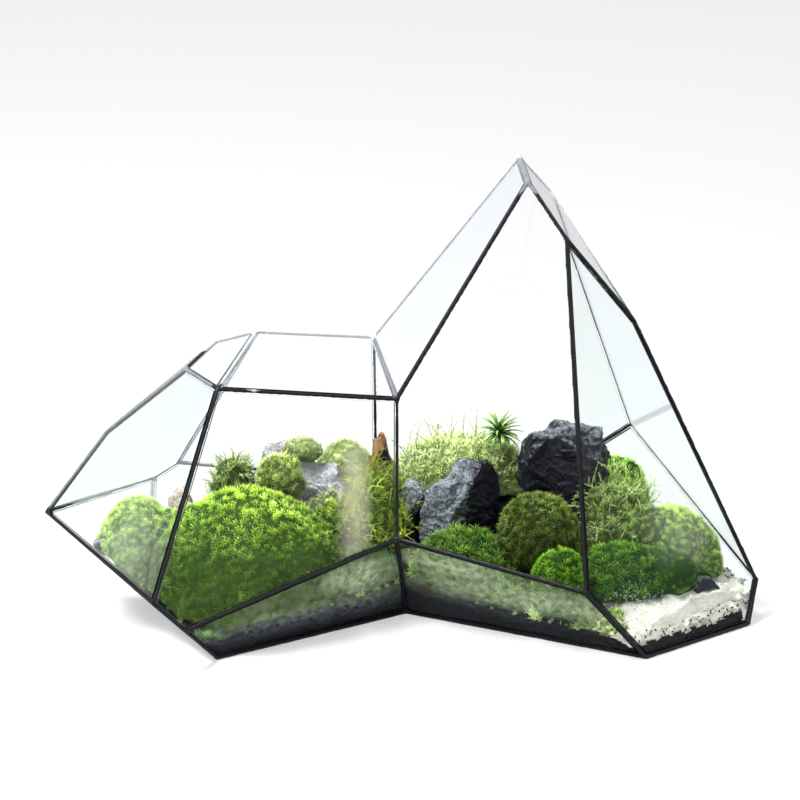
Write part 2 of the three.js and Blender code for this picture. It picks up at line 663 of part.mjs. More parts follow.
STRANDS.forEach((spec) => {
  const rooted = { ...spec, tuft: 1, detail: 2 };
  const tangle = [toSolid(cushionGeometry(rooted, 0)), ...strandsOver(spec, 0)];
  const envelope = [toSolid(cushionGeometry(rooted, HELD_CLEAR)), ...strandsOver(spec, HELD_CLEAR)];
  plant(spec.name, spec.finish, joined(tangle), joined(envelope));
});

place('star_moss', largestBody(starPlant().subtract(occupied)), 'starMoss');

export default group;
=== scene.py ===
# %% [markdown]
# # A planted glass terrarium
# The real thing is a case of flat glass panes, soldered along every edge, with a small
# landscape inside: black soil, pale sand, rocks, driftwood and several kinds of moss.
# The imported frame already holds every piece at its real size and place. This script gives
# each one its surface: it wraps the panes' edges in foil, grows moss over the cushions, and
# cleaves, melts or roughens copies of the other solids.

# %% Load the frame
import math

import bmesh
import bpy
import numpy as np
from mathutils import Matrix, Vector, noise
from mathutils.bvhtree import BVHTree


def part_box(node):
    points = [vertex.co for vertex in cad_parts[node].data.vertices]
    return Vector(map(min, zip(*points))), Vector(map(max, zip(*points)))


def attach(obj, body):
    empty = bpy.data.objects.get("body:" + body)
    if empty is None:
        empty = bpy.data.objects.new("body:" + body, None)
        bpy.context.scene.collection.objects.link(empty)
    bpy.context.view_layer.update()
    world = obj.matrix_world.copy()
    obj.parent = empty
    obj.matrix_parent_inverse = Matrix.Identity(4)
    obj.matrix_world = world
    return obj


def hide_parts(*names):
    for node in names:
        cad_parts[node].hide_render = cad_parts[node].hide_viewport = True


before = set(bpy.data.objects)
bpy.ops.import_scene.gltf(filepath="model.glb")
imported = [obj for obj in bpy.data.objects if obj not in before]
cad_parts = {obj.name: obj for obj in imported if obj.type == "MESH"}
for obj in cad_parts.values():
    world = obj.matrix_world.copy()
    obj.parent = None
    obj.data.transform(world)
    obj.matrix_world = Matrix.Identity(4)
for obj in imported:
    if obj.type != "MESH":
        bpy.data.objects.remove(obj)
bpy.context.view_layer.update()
MM = 0.001

# %% [markdown]
# ## The camera
# The photograph looks at the front from 20 degrees above the horizon, from far away through
# a long lens. The lens is worked out from the picture's side and the focal length in pixels,
# which is how the case's corners were matched to the photograph. The camera comes first, so
# that every later piece can be judged from the same place.

# %% Camera
PICTURE_SIDE = 800
FOCAL_PIXELS = 4015
CAMERA_ELEVATION = math.radians(20)
CAMERA_DISTANCE = 2.2
CAMERA_TARGET = Vector((-1.4, 29.0, 110.6)) * MM


def make_camera():
    data = bpy.data.cameras.new("camera")
    data.sensor_width = 36
    data.lens = data.sensor_width * FOCAL_PIXELS / PICTURE_SIDE
    camera = bpy.data.objects.new("camera", data)
    bpy.context.scene.collection.objects.link(camera)
    forward = Vector((0, math.cos(CAMERA_ELEVATION), -math.sin(CAMERA_ELEVATION)))
    camera.location = CAMERA_TARGET - forward * CAMERA_DISTANCE
    camera.rotation_euler = forward.to_track_quat("-Z", "Y").to_euler()
    bpy.context.scene.camera = camera
    return camera


camera = make_camera()
print("camera lens:", round(camera.data.lens, 1), "mm")

# %% [markdown]
# ## Small helpers for materials
# A material here is a Principled BSDF with nodes in front of it. The helpers add a node with
# its settings in one line, mix two colours, and turn a colour as read on a screen into the
# linear numbers that the shader wants.

# %% Node helpers
def paint(code):
    """A screen colour such as 7fa321 as linear red, green, blue and alpha."""
    parts = [int(code[i:i + 2], 16) / 255 for i in (0, 2, 4)]
    return tuple(c / 12.92 if c < 0.04045 else ((c + 0.055) / 1.055) ** 2.4 for c in parts) + (1,)


def fill(tree, made, inputs):
    """Fills a node's inputs: another node's socket is linked, and anything else is set."""
    for name, value in inputs.items():
        if isinstance(value, bpy.types.NodeSocket):
            tree.links.new(value, made.inputs[name])
        else:
            made.inputs[name].default_value = value
    return made


def add(tree, kind, inputs=None, **settings):
    """A new node of a kind, with its settings made and then its inputs filled."""
    made = tree.nodes.new("ShaderNode" + kind)
    for name, value in settings.items():
        setattr(made, name, value)
    return fill(tree, made, inputs or {})


def reckoned(tree, operation, first, *others):
    """What Math nodes make of several values, taken one after another."""
    for other in others:
        first = add(tree, "Math", {0: first, 1: other}, operation=operation).outputs[0]
    return first


def object_place(tree):
    return add(tree, "TexCoord").outputs["Object"]


def stored(tree, name):
    """A number that is stored on the mesh's points under this name."""
    return add(tree, "Attribute", attribute_name=name).outputs["Fac"]


def blend(tree, factor, first, second, mode="MIX"):
    """Mixes two colours; in the Mix node the colours are inputs 6 and 7."""
    return add(tree, "Mix", {0: factor, 6: first, 7: second}, data_type="RGBA", blend_type=mode).outputs[2]


def between(tree, value, low, high, to_low=0.0, to_high=1.0):
    """Stretches a value from one range to another, clamped."""
    numbers = {"Value": value, "From Min": low, "From Max": high, "To Min": to_low, "To Max": to_high}
    return add(tree, "MapRange", numbers).outputs["Result"]


print("the screen colour 7fa321 in linear numbers:", [round(c, 3) for c in paint("7fa321")])

# %% Material helpers
def object_noise(tree, size, detail=2.0, stretch=(1, 1, 1)):
    """Noise on Object coordinates whose blobs are about size metres wide."""
    inputs = {"Vector": object_place(tree), "Scale": stretch}
    turned = add(tree, "Mapping", inputs).outputs["Vector"]
    return add(tree, "TexNoise", {"Vector": turned, "Scale": 1 / size, "Detail": detail}).outputs["Fac"]


def bump(tree, shader, height, depth):
    """Bumps a material's surface by a height that varies; depth is in metres."""
    lump = add(tree, "Bump", {"Height": height, "Distance": depth})
    fill(tree, shader, {"Normal": lump.outputs["Normal"]})


def new_material(name, **plain):
    """A Principled material; plain numbers go straight to its own sockets."""
    material = bpy.data.materials.new(name)
    material.use_nodes = True
    shader = material.node_tree.nodes["Principled BSDF"]
    for socket, value in plain.items():
        shader.inputs[socket.replace("_", " ")].default_value = value
    return material, material.node_tree, shader


def new_group(name, inputs, outputs):
    """A shader node group; inputs and outputs are (name, kind, value)."""
    tree = bpy.data.node_groups.new(name, "ShaderNodeTree")
    for socket, kind, value in inputs:
        made = tree.interface.new_socket(socket, in_out="INPUT", socket_type="NodeSocket" + kind)
        made.default_value = value
    for socket, kind in outputs:
        tree.interface.new_socket(socket, in_out="OUTPUT", socket_type="NodeSocket" + kind)
    return tree, tree.nodes.new("NodeGroupInput"), tree.nodes.new("NodeGroupOutput")


print("material helpers ready")

# %% [markdown]
# ## The colour of things that grow
# A moss leaf is dark where it leaves the cushion and bright at its tip. This is partly the moss's own colour
# and partly painted shade deep among the leaves. Each leaf is a little different, and whole patches turn
# yellow or deep green. One node group does all of this for every moss. It reads two numbers stored on the
# mesh: "along" runs from 0 at a leaf's root to 1 at its tip, and "tone" is one number for each leaf, dark at
# 0 and pale above 1, which also carries painted shade towards each moss's foot.

# %% Growth colour group
def make_growth_group():
    colours = [("Root", "Color", paint("1c3006")), ("Middle", "Color", paint("5f8a1e")),
               ("Tip", "Color", paint("a9c24a")), ("Patch", "Color", paint("8f9a35")),
               ("Patch Share", "Float", 0.5), ("Patch Size", "Float", 0.018)]
    tree, inside, out = new_group("growth colour", colours, [("Color", "Color")])
    along = stored(tree, "along")
    tone = stored(tree, "tone")
    low = blend(tree, between(tree, along, 0.0, 0.55), inside.outputs["Root"], inside.outputs["Middle"])
    leaf = blend(tree, between(tree, along, 0.5, 1.0), low, inside.outputs["Tip"])
    scale = reckoned(tree, "DIVIDE", 1.0, inside.outputs["Patch Size"])
    noise_inputs = {"Vector": object_place(tree), "Scale": scale, "Detail": 3.0}
    cloud = add(tree, "TexNoise", noise_inputs).outputs["Fac"]
    patch = between(tree, cloud, 0.45, 0.7)
    share = reckoned(tree, "MULTIPLY", patch, inside.outputs["Patch Share"])
    tinted = blend(tree, share, leaf, inside.outputs["Patch"], "SOFT_LIGHT")
    hue = between(tree, tone, 0.0, 1.0, 0.512, 0.485)
    light = between(tree, tone, 0.0, 2.0, 0.12, 3.4)
    varied = add(tree, "HueSaturation", {"Hue": hue, "Saturation": 1.0, "Value": light, "Color": tinted})
    fill(tree, out, {"Color": varied.outputs["Color"]})
    return tree


growth_group = make_growth_group()

# The colours of a leaf's root, middle and tip, and of the patches that turn.
MOSS_LOOKS = {
    "mound": ("091805", "6ea622", "daf07c", "b4c244"),
    "hazed": ("2c4216", "8db34a", "d8e8a2", "c0cc70"),
    "ball": ("22300f", "8cac48", "e0eca6", "c8ae74"),
    "fluffy": ("5c7040", "a6bd74", "e4ebc8", "cdd296"),
    "lawn": ("12260a", "54892c", "b0d670", "8a9c40"),
    "velvet": ("10260a", "4e8a1c", "a8d254", "78a02e"),
    "shade": ("0a160b", "386a20", "86b850", "60842e"),
    "olive": ("151b08", "56742a", "b0c06c", "868a3c"),
    "feathery": ("223214", "88a850", "d6e2a6", "b2b86c"),
    "yellow": ("1c2e0a", "7fa72c", "d0de66", "b4b444"),
    "star": ("1c3c10", "5f8c34", "aac676", "86a24e"),
    # A pale look painted as light, for carpets behind the lower panes that are lit from the front.
    "misty": ("44582e", "a5c072", "dfebbc", "c0cc90"),
}


def make_moss_material(name, root, middle, tip, patch):
    material, tree, shader = new_material("moss_" + name, Roughness=0.7, Specular_IOR_Level=0.12)
    colours = {"Root": paint(root), "Middle": paint(middle), "Tip": paint(tip), "Patch": paint(patch)}
    colour = add(tree, "Group", colours, node_tree=growth_group).outputs["Color"]
    fill(tree, shader, {"Base Color": colour})
    return material


materials = {name: make_moss_material(name, *codes) for name, codes in MOSS_LOOKS.items()}
print("moss materials:", sorted(materials))

# %% [markdown]
# ## Mineral surfaces
# Soil, sand, slate and stone all show grain, only at other sizes and in other colours. One
# group mixes a fine and a coarse noise into a mask for colour and a height for bump.

# %% Mineral group
def make_mineral_group():
    inputs = [("Dark", "Color", paint("14151a")), ("Light", "Color", paint("5a5f68")),
              ("Coarse Size", "Float", 0.008), ("Fine Size", "Float", 0.0012), ("Contrast", "Float", 0.5)]
    tree, inside, out = new_group("mineral grain", inputs, [("Color", "Color"), ("Height", "Float")])
    place = object_place(tree)
    fields = []
    for size in ("Coarse Size", "Fine Size"):
        scale = reckoned(tree, "DIVIDE", 1.0, inside.outputs[size])
        fields.append(add(tree, "TexNoise", {"Vector": place, "Scale": scale, "Detail": 4.0}).outputs["Fac"])
    both = reckoned(tree, "ADD", fields[0], fields[1])
    half = reckoned(tree, "MULTIPLY", both, 0.5)
    mask = between(tree, half, 0.36, 0.66)
    share = reckoned(tree, "MULTIPLY", mask, inside.outputs["Contrast"])
    colour = blend(tree, share, inside.outputs["Dark"], inside.outputs["Light"])
    fill(tree, out, {"Color": colour, "Height": half})
    return tree


mineral_group = make_mineral_group()


def mineral_grain(tree, dark, light, coarse, fine, contrast):
    """The mineral group placed in a material; coarse and fine are sizes in mm."""
    return add(tree, "Group", {
        "Dark": paint(dark), "Light": paint(light), "Coarse Size": coarse * MM,
        "Fine Size": fine * MM, "Contrast": contrast}, node_tree=mineral_group)


def make_mineral_material(name, dark, light, coarse, fine, contrast, rise, roughness):
    material, tree, shader = new_material(name, Roughness=roughness, Specular_IOR_Level=0.3)
    grain = mineral_grain(tree, dark, light, coarse, fine, contrast)
    fill(tree, shader, {"Base Color": grain.outputs["Color"]})
    bump(tree, shader, grain.outputs["Height"], rise * MM)
    return material


MINERALS = {
    "soil": dict(
        dark="030409", light="1b1d27", coarse=5, fine=1.2, contrast=0.5, rise=0.8, roughness=0.85),
    "sand": dict(
        dark="cbc5b8", light="f1ece2", coarse=6, fine=0.7, contrast=1.0, rise=0.35, roughness=0.9),
    "grey_rock": dict(
        dark="64656a", light="cbcbcd", coarse=7, fine=1.0, contrast=0.9, rise=0.9, roughness=0.8),
    "pink_stone": dict(
        dark="7c6460", light="ffeee8", coarse=3, fine=0.9, contrast=1.0, rise=0.5, roughness=0.8),
}
for name, look in MINERALS.items():
    materials[name] = make_mineral_material(name, **look)
print("mineral materials:", sorted(MINERALS))

# %% [markdown]
# ## Slate
# Slate is nearly black where it has split cleanly. The side turned to the light is painted pale grey, as
# painted light. How much painted light each point gets, from 0 to 1, is stored on the rock's mesh when the
# rock is shaped, and noise breaks its edge into flecks here.

# %% Slate material
def make_slate_material():
    material, tree, shader = new_material("slate", Roughness=0.55, Specular_IOR_Level=0.3)
    grain = mineral_grain(tree, "05050b", "202030", 9, 1.2, 0.8)
    # Painted light: the lit side turns pale grey, with flecks at its edge.
    flecks = between(tree, object_noise(tree, 3.0 * MM, 6.0), 0.3, 0.7, -0.22, 0.22)
    reach = reckoned(tree, "ADD", stored(tree, "weather"), flecks)
    share = between(tree, reach, 0.3, 0.85, 0.0, 0.95)
    veins = between(tree, object_noise(tree, 1.3 * MM, 3.0), 0.35, 0.65)
    pale = blend(tree, veins, paint("4c5663"), paint("a4adb3"))
    colour = blend(tree, share, grain.outputs["Color"], pale)
    fill(tree, shader, {"Base Color": colour})
    bump(tree, shader, grain.outputs["Height"], 0.9 * MM)
    return material


materials["slate"] = make_slate_material()
print("slate material ready")

# %% [markdown]
# ## Driftwood
# The wood at the waist is orange-brown with dark crevices that run along its grain. The noise is stretched
# along Z, because the piece stands on end. The hollow near its top is stored on the mesh as "hollow" and
# painted dark as painted shade, and the grain makes the edge of this painted shadow ragged.

# %% Driftwood material
def make_wood_material():
    material, tree, shader = new_material("driftwood", Roughness=0.75, Specular_IOR_Level=0.3)
    grain = object_noise(tree, 2.2 * MM, 5.0, (1, 1, 0.16))
    colour = blend(tree, between(tree, grain, 0.36, 0.6), paint("0a0605"), paint("a87848"))
    patches = between(tree, object_noise(tree, 9 * MM), 0.5, 0.7)
    greyed = blend(tree, patches, colour, paint("776455"))
    # Painted shade inside the hollow, its edge made ragged by the grain.
    ragged = reckoned(tree, "ADD", stored(tree, "hollow"), grain)
    hollow_painted_shade = blend(tree, between(tree, ragged, 0.95, 1.1), greyed, paint("0a0708"))
    fill(tree, shader, {"Base Color": hollow_painted_shade})
    bump(tree, shader, grain, 0.8 * MM)
    return material


materials["driftwood"] = make_wood_material()
print("driftwood material ready")

# %% [markdown]
# ## Glass
# The panes are clear, with a faint cool tint. Glass that only refracts would shut lamps out,
# so rays from lamps see a transparent shader in its place. Damp moss mists the inside of some
# panes. In this white room real glass would mirror the floor and hide the soil, so each pane
# bends and mirrors light less than real glass. The mist is a thin white film mixed over the
# glass in soft spots, each with its own middle, reach and share. Noise breaks it up, and near
# the ground drops run together in it and leave small dark holes.

# %% Mist
CLOUD = 16 * MM
DROP_GAP = 2.7 * MM
WET_LINE = 8.5 * MM
WET_EDGE = 1.5 * MM


def mist_spot(tree, place, middle, reach, share):
    """A soft ellipsoid of mist; middle and reach are in mm, for X, Y and Z."""
    offset = add(tree, "VectorMath", {0: place, 1: Vector(middle) * MM}, operation="SUBTRACT")
    scaled = add(tree, "VectorMath", {0: offset.outputs[0], 1: Vector(reach) * MM}, operation="DIVIDE")
    length = add(tree, "VectorMath", {0: scaled.outputs[0]}, operation="LENGTH").outputs["Value"]
    return between(tree, length, 0.3, 1.0, share, 0.0)


def mist_share(tree, place, spots):
    """How dense the mist is: the densest spot at each point, broken up into clouds."""
    densest = reckoned(tree, "MAXIMUM", *[mist_spot(tree, place, *spot) for spot in spots])
    clouds = between(tree, object_noise(tree, CLOUD, 4.0), 0.3, 0.65, 0.45, 1.0)
    return reckoned(tree, "MULTIPLY", densest, clouds)


def with_drops(tree, place, height, share):
    """Mist with holes where drops run together near the ground, and none under the wet line."""
    cells = add(tree, "TexVoronoi", {"Vector": place, "Scale": 1 / DROP_GAP}).outputs["Distance"]
    hole = between(tree, cells, 0.56, 0.46)
    low = between(tree, height, 20 * MM, 14 * MM)
    left = reckoned(tree, "SUBTRACT", 1.0, reckoned(tree, "MULTIPLY", hole, low))
    wet = between(tree, height, WET_LINE - WET_EDGE, WET_LINE + WET_EDGE)
    return reckoned(tree, "MULTIPLY", share, left, wet)


print("drops in the mist are", round(DROP_GAP / MM, 1), "mm apart; low mist starts",
      round(WET_LINE / MM, 1), "mm above the ground")

# %% Glass materials
CLEAR, COOL, ON_SOIL = "fafbfc", "eff5f4", "14151d"
HAZE, GREEN_MIST_AND_PAINTED_LIGHT, BEIGE = "d9dfd2", "d6e6b8", "dcd8bc"
MIST_FOOT, MIST_SHADE = "7e8899", "7f9a72"
ROOF_BENDING = 1.28
SIDE_BENDING = 1.15
LOWER_BENDING = 1.08
MOTTLE = 4 * MM


def let_lamps_through(tree, shader):
    """The shader as seen, with a transparent one in its place for the rays from lamps."""
    lamp = add(tree, "LightPath").outputs["Is Shadow Ray"]
    clear = add(tree, "BsdfTransparent").outputs[0]
    return add(tree, "MixShader", {0: lamp, 1: shader.outputs[0], 2: clear}).outputs[0]


def make_glass_material(name, spots=(), holes=False, bending=ROOF_BENDING, tint=HAZE, base=CLEAR):
    """Glass with mist in spots; where it has holes, its film is mottled and grey at its foot."""
    material, tree, shader = new_material(
        name, Roughness=0.0, IOR=bending, Transmission_Weight=1.0, Base_Color=paint(base))
    surface = let_lamps_through(tree, shader)
    if spots:
        place = object_place(tree)
        share = mist_share(tree, place, spots)
        film = add(tree, "BsdfPrincipled", {"Base Color": paint(tint), "Roughness": 0.9})
        if holes:
            height = add(tree, "SeparateXYZ", {"Vector": place}).outputs["Z"]
            mottle = between(tree, object_noise(tree, MOTTLE, 5.0), 0.35, 0.62)
            thin = between(tree, mottle, 0.0, 1.0, 0.55, 1.0)
            share = reckoned(tree, "MULTIPLY", with_drops(tree, place, height, share), thin)
            damp = blend(tree, mottle, paint(MIST_SHADE), paint(tint))
            rise = between(tree, height, 12 * MM, 22 * MM)
            fill(tree, film, {"Base Color": blend(tree, rise, paint(MIST_FOOT), damp)})
        surface = add(tree, "MixShader", {0: share, 1: surface, 2: film.outputs[0]}).outputs[0]
    fill(tree, tree.nodes["Material Output"], {"Surface": surface})
    return material


glass_clear = make_glass_material("glass")
glass_on_soil = make_glass_material("glass_on_soil", base=ON_SOIL)
print("made", glass_clear.name, "and", glass_on_soil.name)

# %% Panes with mist
PANE_MIST = {
    "glass_left_side": dict(
        spots=[((-142, -40, 55), (40, 90, 42), 0.11), ((-140, -60, 30), (40, 60, 30), 0.07)],
        bending=SIDE_BENDING, base=COOL),
    "glass_left_front": dict(
        spots=[((-26, -24, 70), (11, 60, 50), 0.3)], bending=SIDE_BENDING, tint=BEIGE),
    "glass_right_side": dict(
        spots=[((152, -15, 60), (30, 60, 28), 0.12)], bending=SIDE_BENDING, base=COOL),
    "glass_left_brow": dict(bending=SIDE_BENDING, base=COOL),
    # On the two lower front panes the pale green film and its dense spots are partly mist and partly painted
    # light, for the moss behind them that is lit from the front.
    "glass_left_lower_front": dict(
        spots=[((-50, -55, 30), (95, 70, 27), 0.09), ((-50, -60, 17), (110, 80, 11), 0.24),
               ((-23, -40, 35), (28, 40, 15), 0.7)],
        holes=True, bending=LOWER_BENDING, tint=GREEN_MIST_AND_PAINTED_LIGHT),
    "glass_right_lower_front": dict(
        spots=[((50, -50, 38), (80, 70, 34), 0.16), ((26, -48, 42), (40, 40, 12), 0.7),
               ((58, -60, 28), (80, 60, 14), 0.58)],
        holes=True, bending=LOWER_BENDING, tint=GREEN_MIST_AND_PAINTED_LIGHT),
    "glass_right_lower_side": dict(
        spots=[((160, -40, 12), (60, 60, 9), 0.03)], holes=True, bending=LOWER_BENDING),
    "glass_left_keel": dict(
        spots=[((-120, -60, 20), (60, 60, 30), 0.03)], bending=LOWER_BENDING),
}
print("panes with mist or a bending of their own:", len(PANE_MIST))

# %% [markdown]
# ## Painted highlights on the seams
# The front edges are dark. Along the back of both roofs and on the low edges at the back left, a pale grey
# highlight is painted over the patina. On the peak's ridge, the waist's ridge, the brow and the eave it is
# painted at half strength.
# One function says how strong the painted highlight is at a place, from 0 to 1. The seams and the foil both
# store its answer on their points, and both finishes mix their colour by it.

# %% Painted highlight on the patina
# How strong the painted highlight is, along the backs and on the ridges.
FULL_PAINTED_HIGHLIGHT = 0.95
HALF_PAINTED_HIGHLIGHT = 0.4


def points_of(mesh):
    points = np.empty(len(mesh.vertices) * 3, np.float32)
    mesh.vertices.foreach_get("co", points)
    return points.reshape(-1, 3)


def store(mesh, name, values):
    """Stores one number for each of the mesh's points, for its material to read."""
    attribute = mesh.attributes.new(name, "FLOAT", "POINT")
    attribute.data.foreach_set("value", np.asarray(values, np.float32))


def highlighted(points):
    """How strong the painted highlight is at each point; the places are given in mm."""
    x, y, z = (points[:, k] / MM for k in range(3))
    roof_back = (y > 8) & (z > 100) & (x < 60) & ((y < 59) | (z > 134)) & ((y > 22) | (z < 150))
    peak_back = (y > 22) & (y < 51) & (z > 166)
    roof_left = (x > -101) & (x < -77) & (z > 138) & (y > -33)
    low_left = (x < -106) & (y > 2) & (z < 140)
    peak_ridge = (z > 234) & (y < 41)
    waist_ridge = (x > -20) & (x < 0) & (z > 120) & (z < 140) & (y > -5) & (y < 58)
    brow = (x < -118) & (z > 62) & (y > -20) & (y < 2)
    eave = (x < -101) & (x > -118) & (z > 139) & (y < -13)
    dust = np.where(roof_back | peak_back | roof_left | low_left, FULL_PAINTED_HIGHLIGHT, 0.0)
    return np.where(peak_ridge | waist_ridge | brow | eave, HALF_PAINTED_HIGHLIGHT, dust)


def patina_and_painted_highlight(tree):
    """The patina's slow noise, and its colour: dark, and pale grey where a highlight is painted."""
    slow_noise = object_noise(tree, 6 * MM, 4.0)
    broken = between(tree, slow_noise, 0.2, 0.5, 0.7, 1.0)
    dust = reckoned(tree, "MULTIPLY", broken, stored(tree, "dust"))
    return slow_noise, blend(tree, dust, paint("080a14"), paint("d8dce3"))


print("worn patina ready")

# %% [markdown]
# ## Solder
# The seams are solder with a dark patina, with the painted highlight of above in places. The solder is
# smooth but hand-laid, so its gloss and its height follow the same slow noise.

# %% Seam material
def make_seam_material():
    material, tree, shader = new_material("seam", Metallic=0.0, Specular_IOR_Level=0.3)
    slow_noise, colour = patina_and_painted_highlight(tree)
    fill(tree, shader, {"Base Color": colour, "Roughness": between(tree, slow_noise, 0.3, 0.7, 0.28, 0.5)})
    bump(tree, shader, slow_noise, 0.3 * MM)
    return material


materials["seam"] = make_seam_material()
print("seam material ready")

# %% [markdown]
# ## Foil on the panes' edges
# Before soldering, the edge of each pane is wrapped in copper foil, which the patina turns
# dark. Without it, light would leak in through the bare edges and draw white slits beside the
# seams. Each pane is a copy of its solid, and every face that isn't one of its two wide sides
# gets the foil's finish.

# %% Panes with foiled edges
SAME_POINT = 1e-6
WIDE_SIDE = 0.97


def link(name, mesh):
    piece = bpy.data.objects.new(name, mesh)
    bpy.context.scene.collection.objects.link(piece)
    return piece


def mesh_of(form, name):
    """The form as a mesh; the form is freed."""
    mesh = bpy.data.meshes.new(name)
    form.to_mesh(mesh)
    form.free()
    return mesh


def solid_copy(node, name):
    """A copy of a CAD solid with its loose triangles merged."""
    form = bmesh.new()
    form.from_mesh(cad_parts[node].data)
    bmesh.ops.remove_doubles(form, verts=form.verts, dist=SAME_POINT)
    mesh = mesh_of(form, name)
    mesh.materials.clear()
    return link(name, mesh)


def hand_over(piece, look=None, node=None):
    """Gives a piece its material, and the frame the piece, in place of the solid it dresses."""
    if look:
        piece.data.materials.append(materials[look])
    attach(piece, "root")
    if node:
        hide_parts(node)
    print(piece.name, "has", len(piece.data.polygons), "faces")


def foil_pane(node):
    """A pane whose two wide sides are glass and whose edges are foil."""
    piece = solid_copy(node, node.replace("glass_", "pane_"))
    clear = glass_on_soil if node.endswith("_floor") else glass_clear
    if node in PANE_MIST:
        clear = make_glass_material(node, **PANE_MIST[node])
    piece.data.materials.append(clear)
    piece.data.materials.append(foil)
    widest = max(piece.data.polygons, key=lambda face: face.area)
    facing = widest.normal.copy()
    for face in piece.data.polygons:
        face.material_index = 0 if abs(face.normal.dot(facing)) > WIDE_SIDE else 1
    # The painted highlight's strength is stored on the pane for its foil.
    store(piece.data, "dust", highlighted(points_of(piece.data)))
    hand_over(piece, node=node)


# The foil takes the patina's colour, with the same painted highlight as the seams.
foil, foil_tree, foil_shader = new_material("foil", Roughness=0.45)
fill(foil_tree, foil_shader, {"Base Color": patina_and_painted_highlight(foil_tree)[1]})
PANES = [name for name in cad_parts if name.startswith("glass_")]
for node in PANES:
    foil_pane(node)
print("panes finished:", len(PANES))

# %% [markdown]
# ## From a plain solid to a living shape
# Every planted piece starts as a copy of its solid. Voxel remeshing turns the copy into even
# small faces, smoothing takes the facets away, and noise gives it soft lumps. The copy is
# drawn in a little, so that the leaves that grow on it end where the solid's skin was.

# %% Copy and remesh
def applied(piece):
    """The piece with its modifiers made part of its mesh."""
    shown = piece.evaluated_get(bpy.context.evaluated_depsgraph_get())
    made = bpy.data.meshes.new_from_object(shown)
    piece.modifiers.clear()
    piece.data = made
    return piece


def remeshed(piece, voxel, smoothing):
    """The piece with even faces of about voxel metres, smoothed a few times."""
    remesh = piece.modifiers.new("Remesh", "REMESH")
    remesh.mode = "VOXEL"
    remesh.voxel_size = voxel
    smooth = piece.modifiers.new("Smooth", "SMOOTH")
    smooth.iterations = smoothing
    smooth.factor = 0.5
    return applied(piece)


def thinned(piece, share):
    """The piece with only a share of its faces, fewest where it is flat."""
    piece.modifiers.new("Decimate", "DECIMATE").ratio = share
    return applied(piece)


def normals_of(mesh):
    normals = np.empty(len(mesh.vertices) * 3, np.float32)
    mesh.vertex_normals.foreach_get("vector", normals)
    return normals.reshape(-1, 3)


def move_to(mesh, points):
    """Puts the mesh's points at new places."""
    mesh.vertices.foreach_set("co", points.ravel())
    mesh.update()


def push(mesh, amounts):
    """Moves each point along its normal by its own amount, in metres."""
    move_to(mesh, points_of(mesh) + normals_of(mesh) * np.asarray(amounts, np.float32)[:, None])


def noise_at(points, size, shift=(0, 0, 0)):
    """Noise from -1 to 1 at each point, in blobs of about size metres."""
    offset = Vector(shift)
    return np.array([noise.noise(Vector(point) / size + offset) for point in points])


def lumps(mesh, size, seed):
    """The same noise over a mesh; each seed gives other blobs."""
    shift = (seed * 7.31, seed * 3.17, seed * 5.71)
    return noise_at(points_of(mesh), size, shift).astype(np.float32)


print("shaping helpers ready")

# %% [markdown]
# ## Leaves
# Each kind of moss has its own small template: a star of short leaflets for cushion moss,
# bent blades for grass-like moss, a feathered strand for strand moss. A leaflet is a cone
# with three sides, because thousands of them are stamped over the cushions.

# %% One leaf
LEAF_FLATNESS = 0.45


def as_template(form):
    """The form's points and triangles as arrays; the form is freed."""
    bmesh.ops.triangulate(form, faces=form.faces)
    form.verts.index_update()
    points = np.array([v.co for v in form.verts], np.float32)
    faces = np.array([[v.index for v in f.verts] for f in form.faces], np.int32)
    form.free()
    return points, faces


def leaf(length, width, lean=0.0, turn=0.0, bend=0.0, cuts=0, root=(0, 0, 0), tilt=0.0, full=0.45):
    """A flat three-sided blade that leans from Z towards turn, and bends over further.

    Tilt turns the whole blade about Y, to stand on a stem that leans. Full is how long the
    blade keeps its width: at 0 it is a plain cone, near 1 it narrows only at its tip."""
    form = bmesh.new()
    bmesh.ops.create_cone(
        form, cap_ends=True, cap_tris=False, segments=3, radius1=width / 2, radius2=0, depth=length)
    if cuts:
        long_edges = [e for e in form.edges if e.calc_length() > length / 2]
        bmesh.ops.subdivide_edges(form, edges=long_edges, cuts=cuts)
    for vertex in form.verts:
        up = vertex.co.z + length / 2
        angle = lean + bend * up / length
        fullness = max(0.01, 1 - up / length) ** -full
        aside = vertex.co.x * LEAF_FLATNESS * fullness
        vertex.co.y *= fullness
        vertex.co.x = aside * math.cos(angle) + up * math.sin(angle)
        vertex.co.z = up * math.cos(angle) - aside * math.sin(angle)
    turned = Matrix.Rotation(tilt, 4, "Y") @ Matrix.Rotation(turn, 4, "Z")
    bmesh.ops.transform(form, matrix=Matrix.Translation(root) @ turned, verts=form.verts)
    return as_template(form)


print("a plain leaf has", len(leaf(3 * MM, 0.8 * MM)[1]), "triangles")

# %% Leaf templates
GOLDEN_TURN = math.pi * (3 - math.sqrt(5))
LEAFLETS_END = 0.92
LEAFLET_WIDTH = 0.42
LEAFLET_LEAN = 0.75
BRANCHES = ((0.3, 1.9, 0.5), (0.5, -1.3, 0.42), (0.68, 1.1, 0.3))


def together(leaves):
    """Several templates as one."""
    starts = np.cumsum([0] + [len(points) for points, _ in leaves[:-1]])
    points = np.concatenate([points for points, _ in leaves])
    faces = np.concatenate([faces + start for (_, faces), start in zip(leaves, starts)])
    return points, faces


def star_template(count, length, width, lean):
    """A tuft of short leaflets that radiate from one point, with one that stands upright.

    Every other leaflet is longer and stands steeper."""
    leaves = [leaf(length, width)]
    for i in range(count - 1):
        size = length * (0.95 if i % 2 else 0.8)
        tilted = lean * (0.75 if i % 2 else 1.15)
        leaves.append(leaf(size, width, tilted, 2 * math.pi * i / (count - 1)))
    return together(leaves)


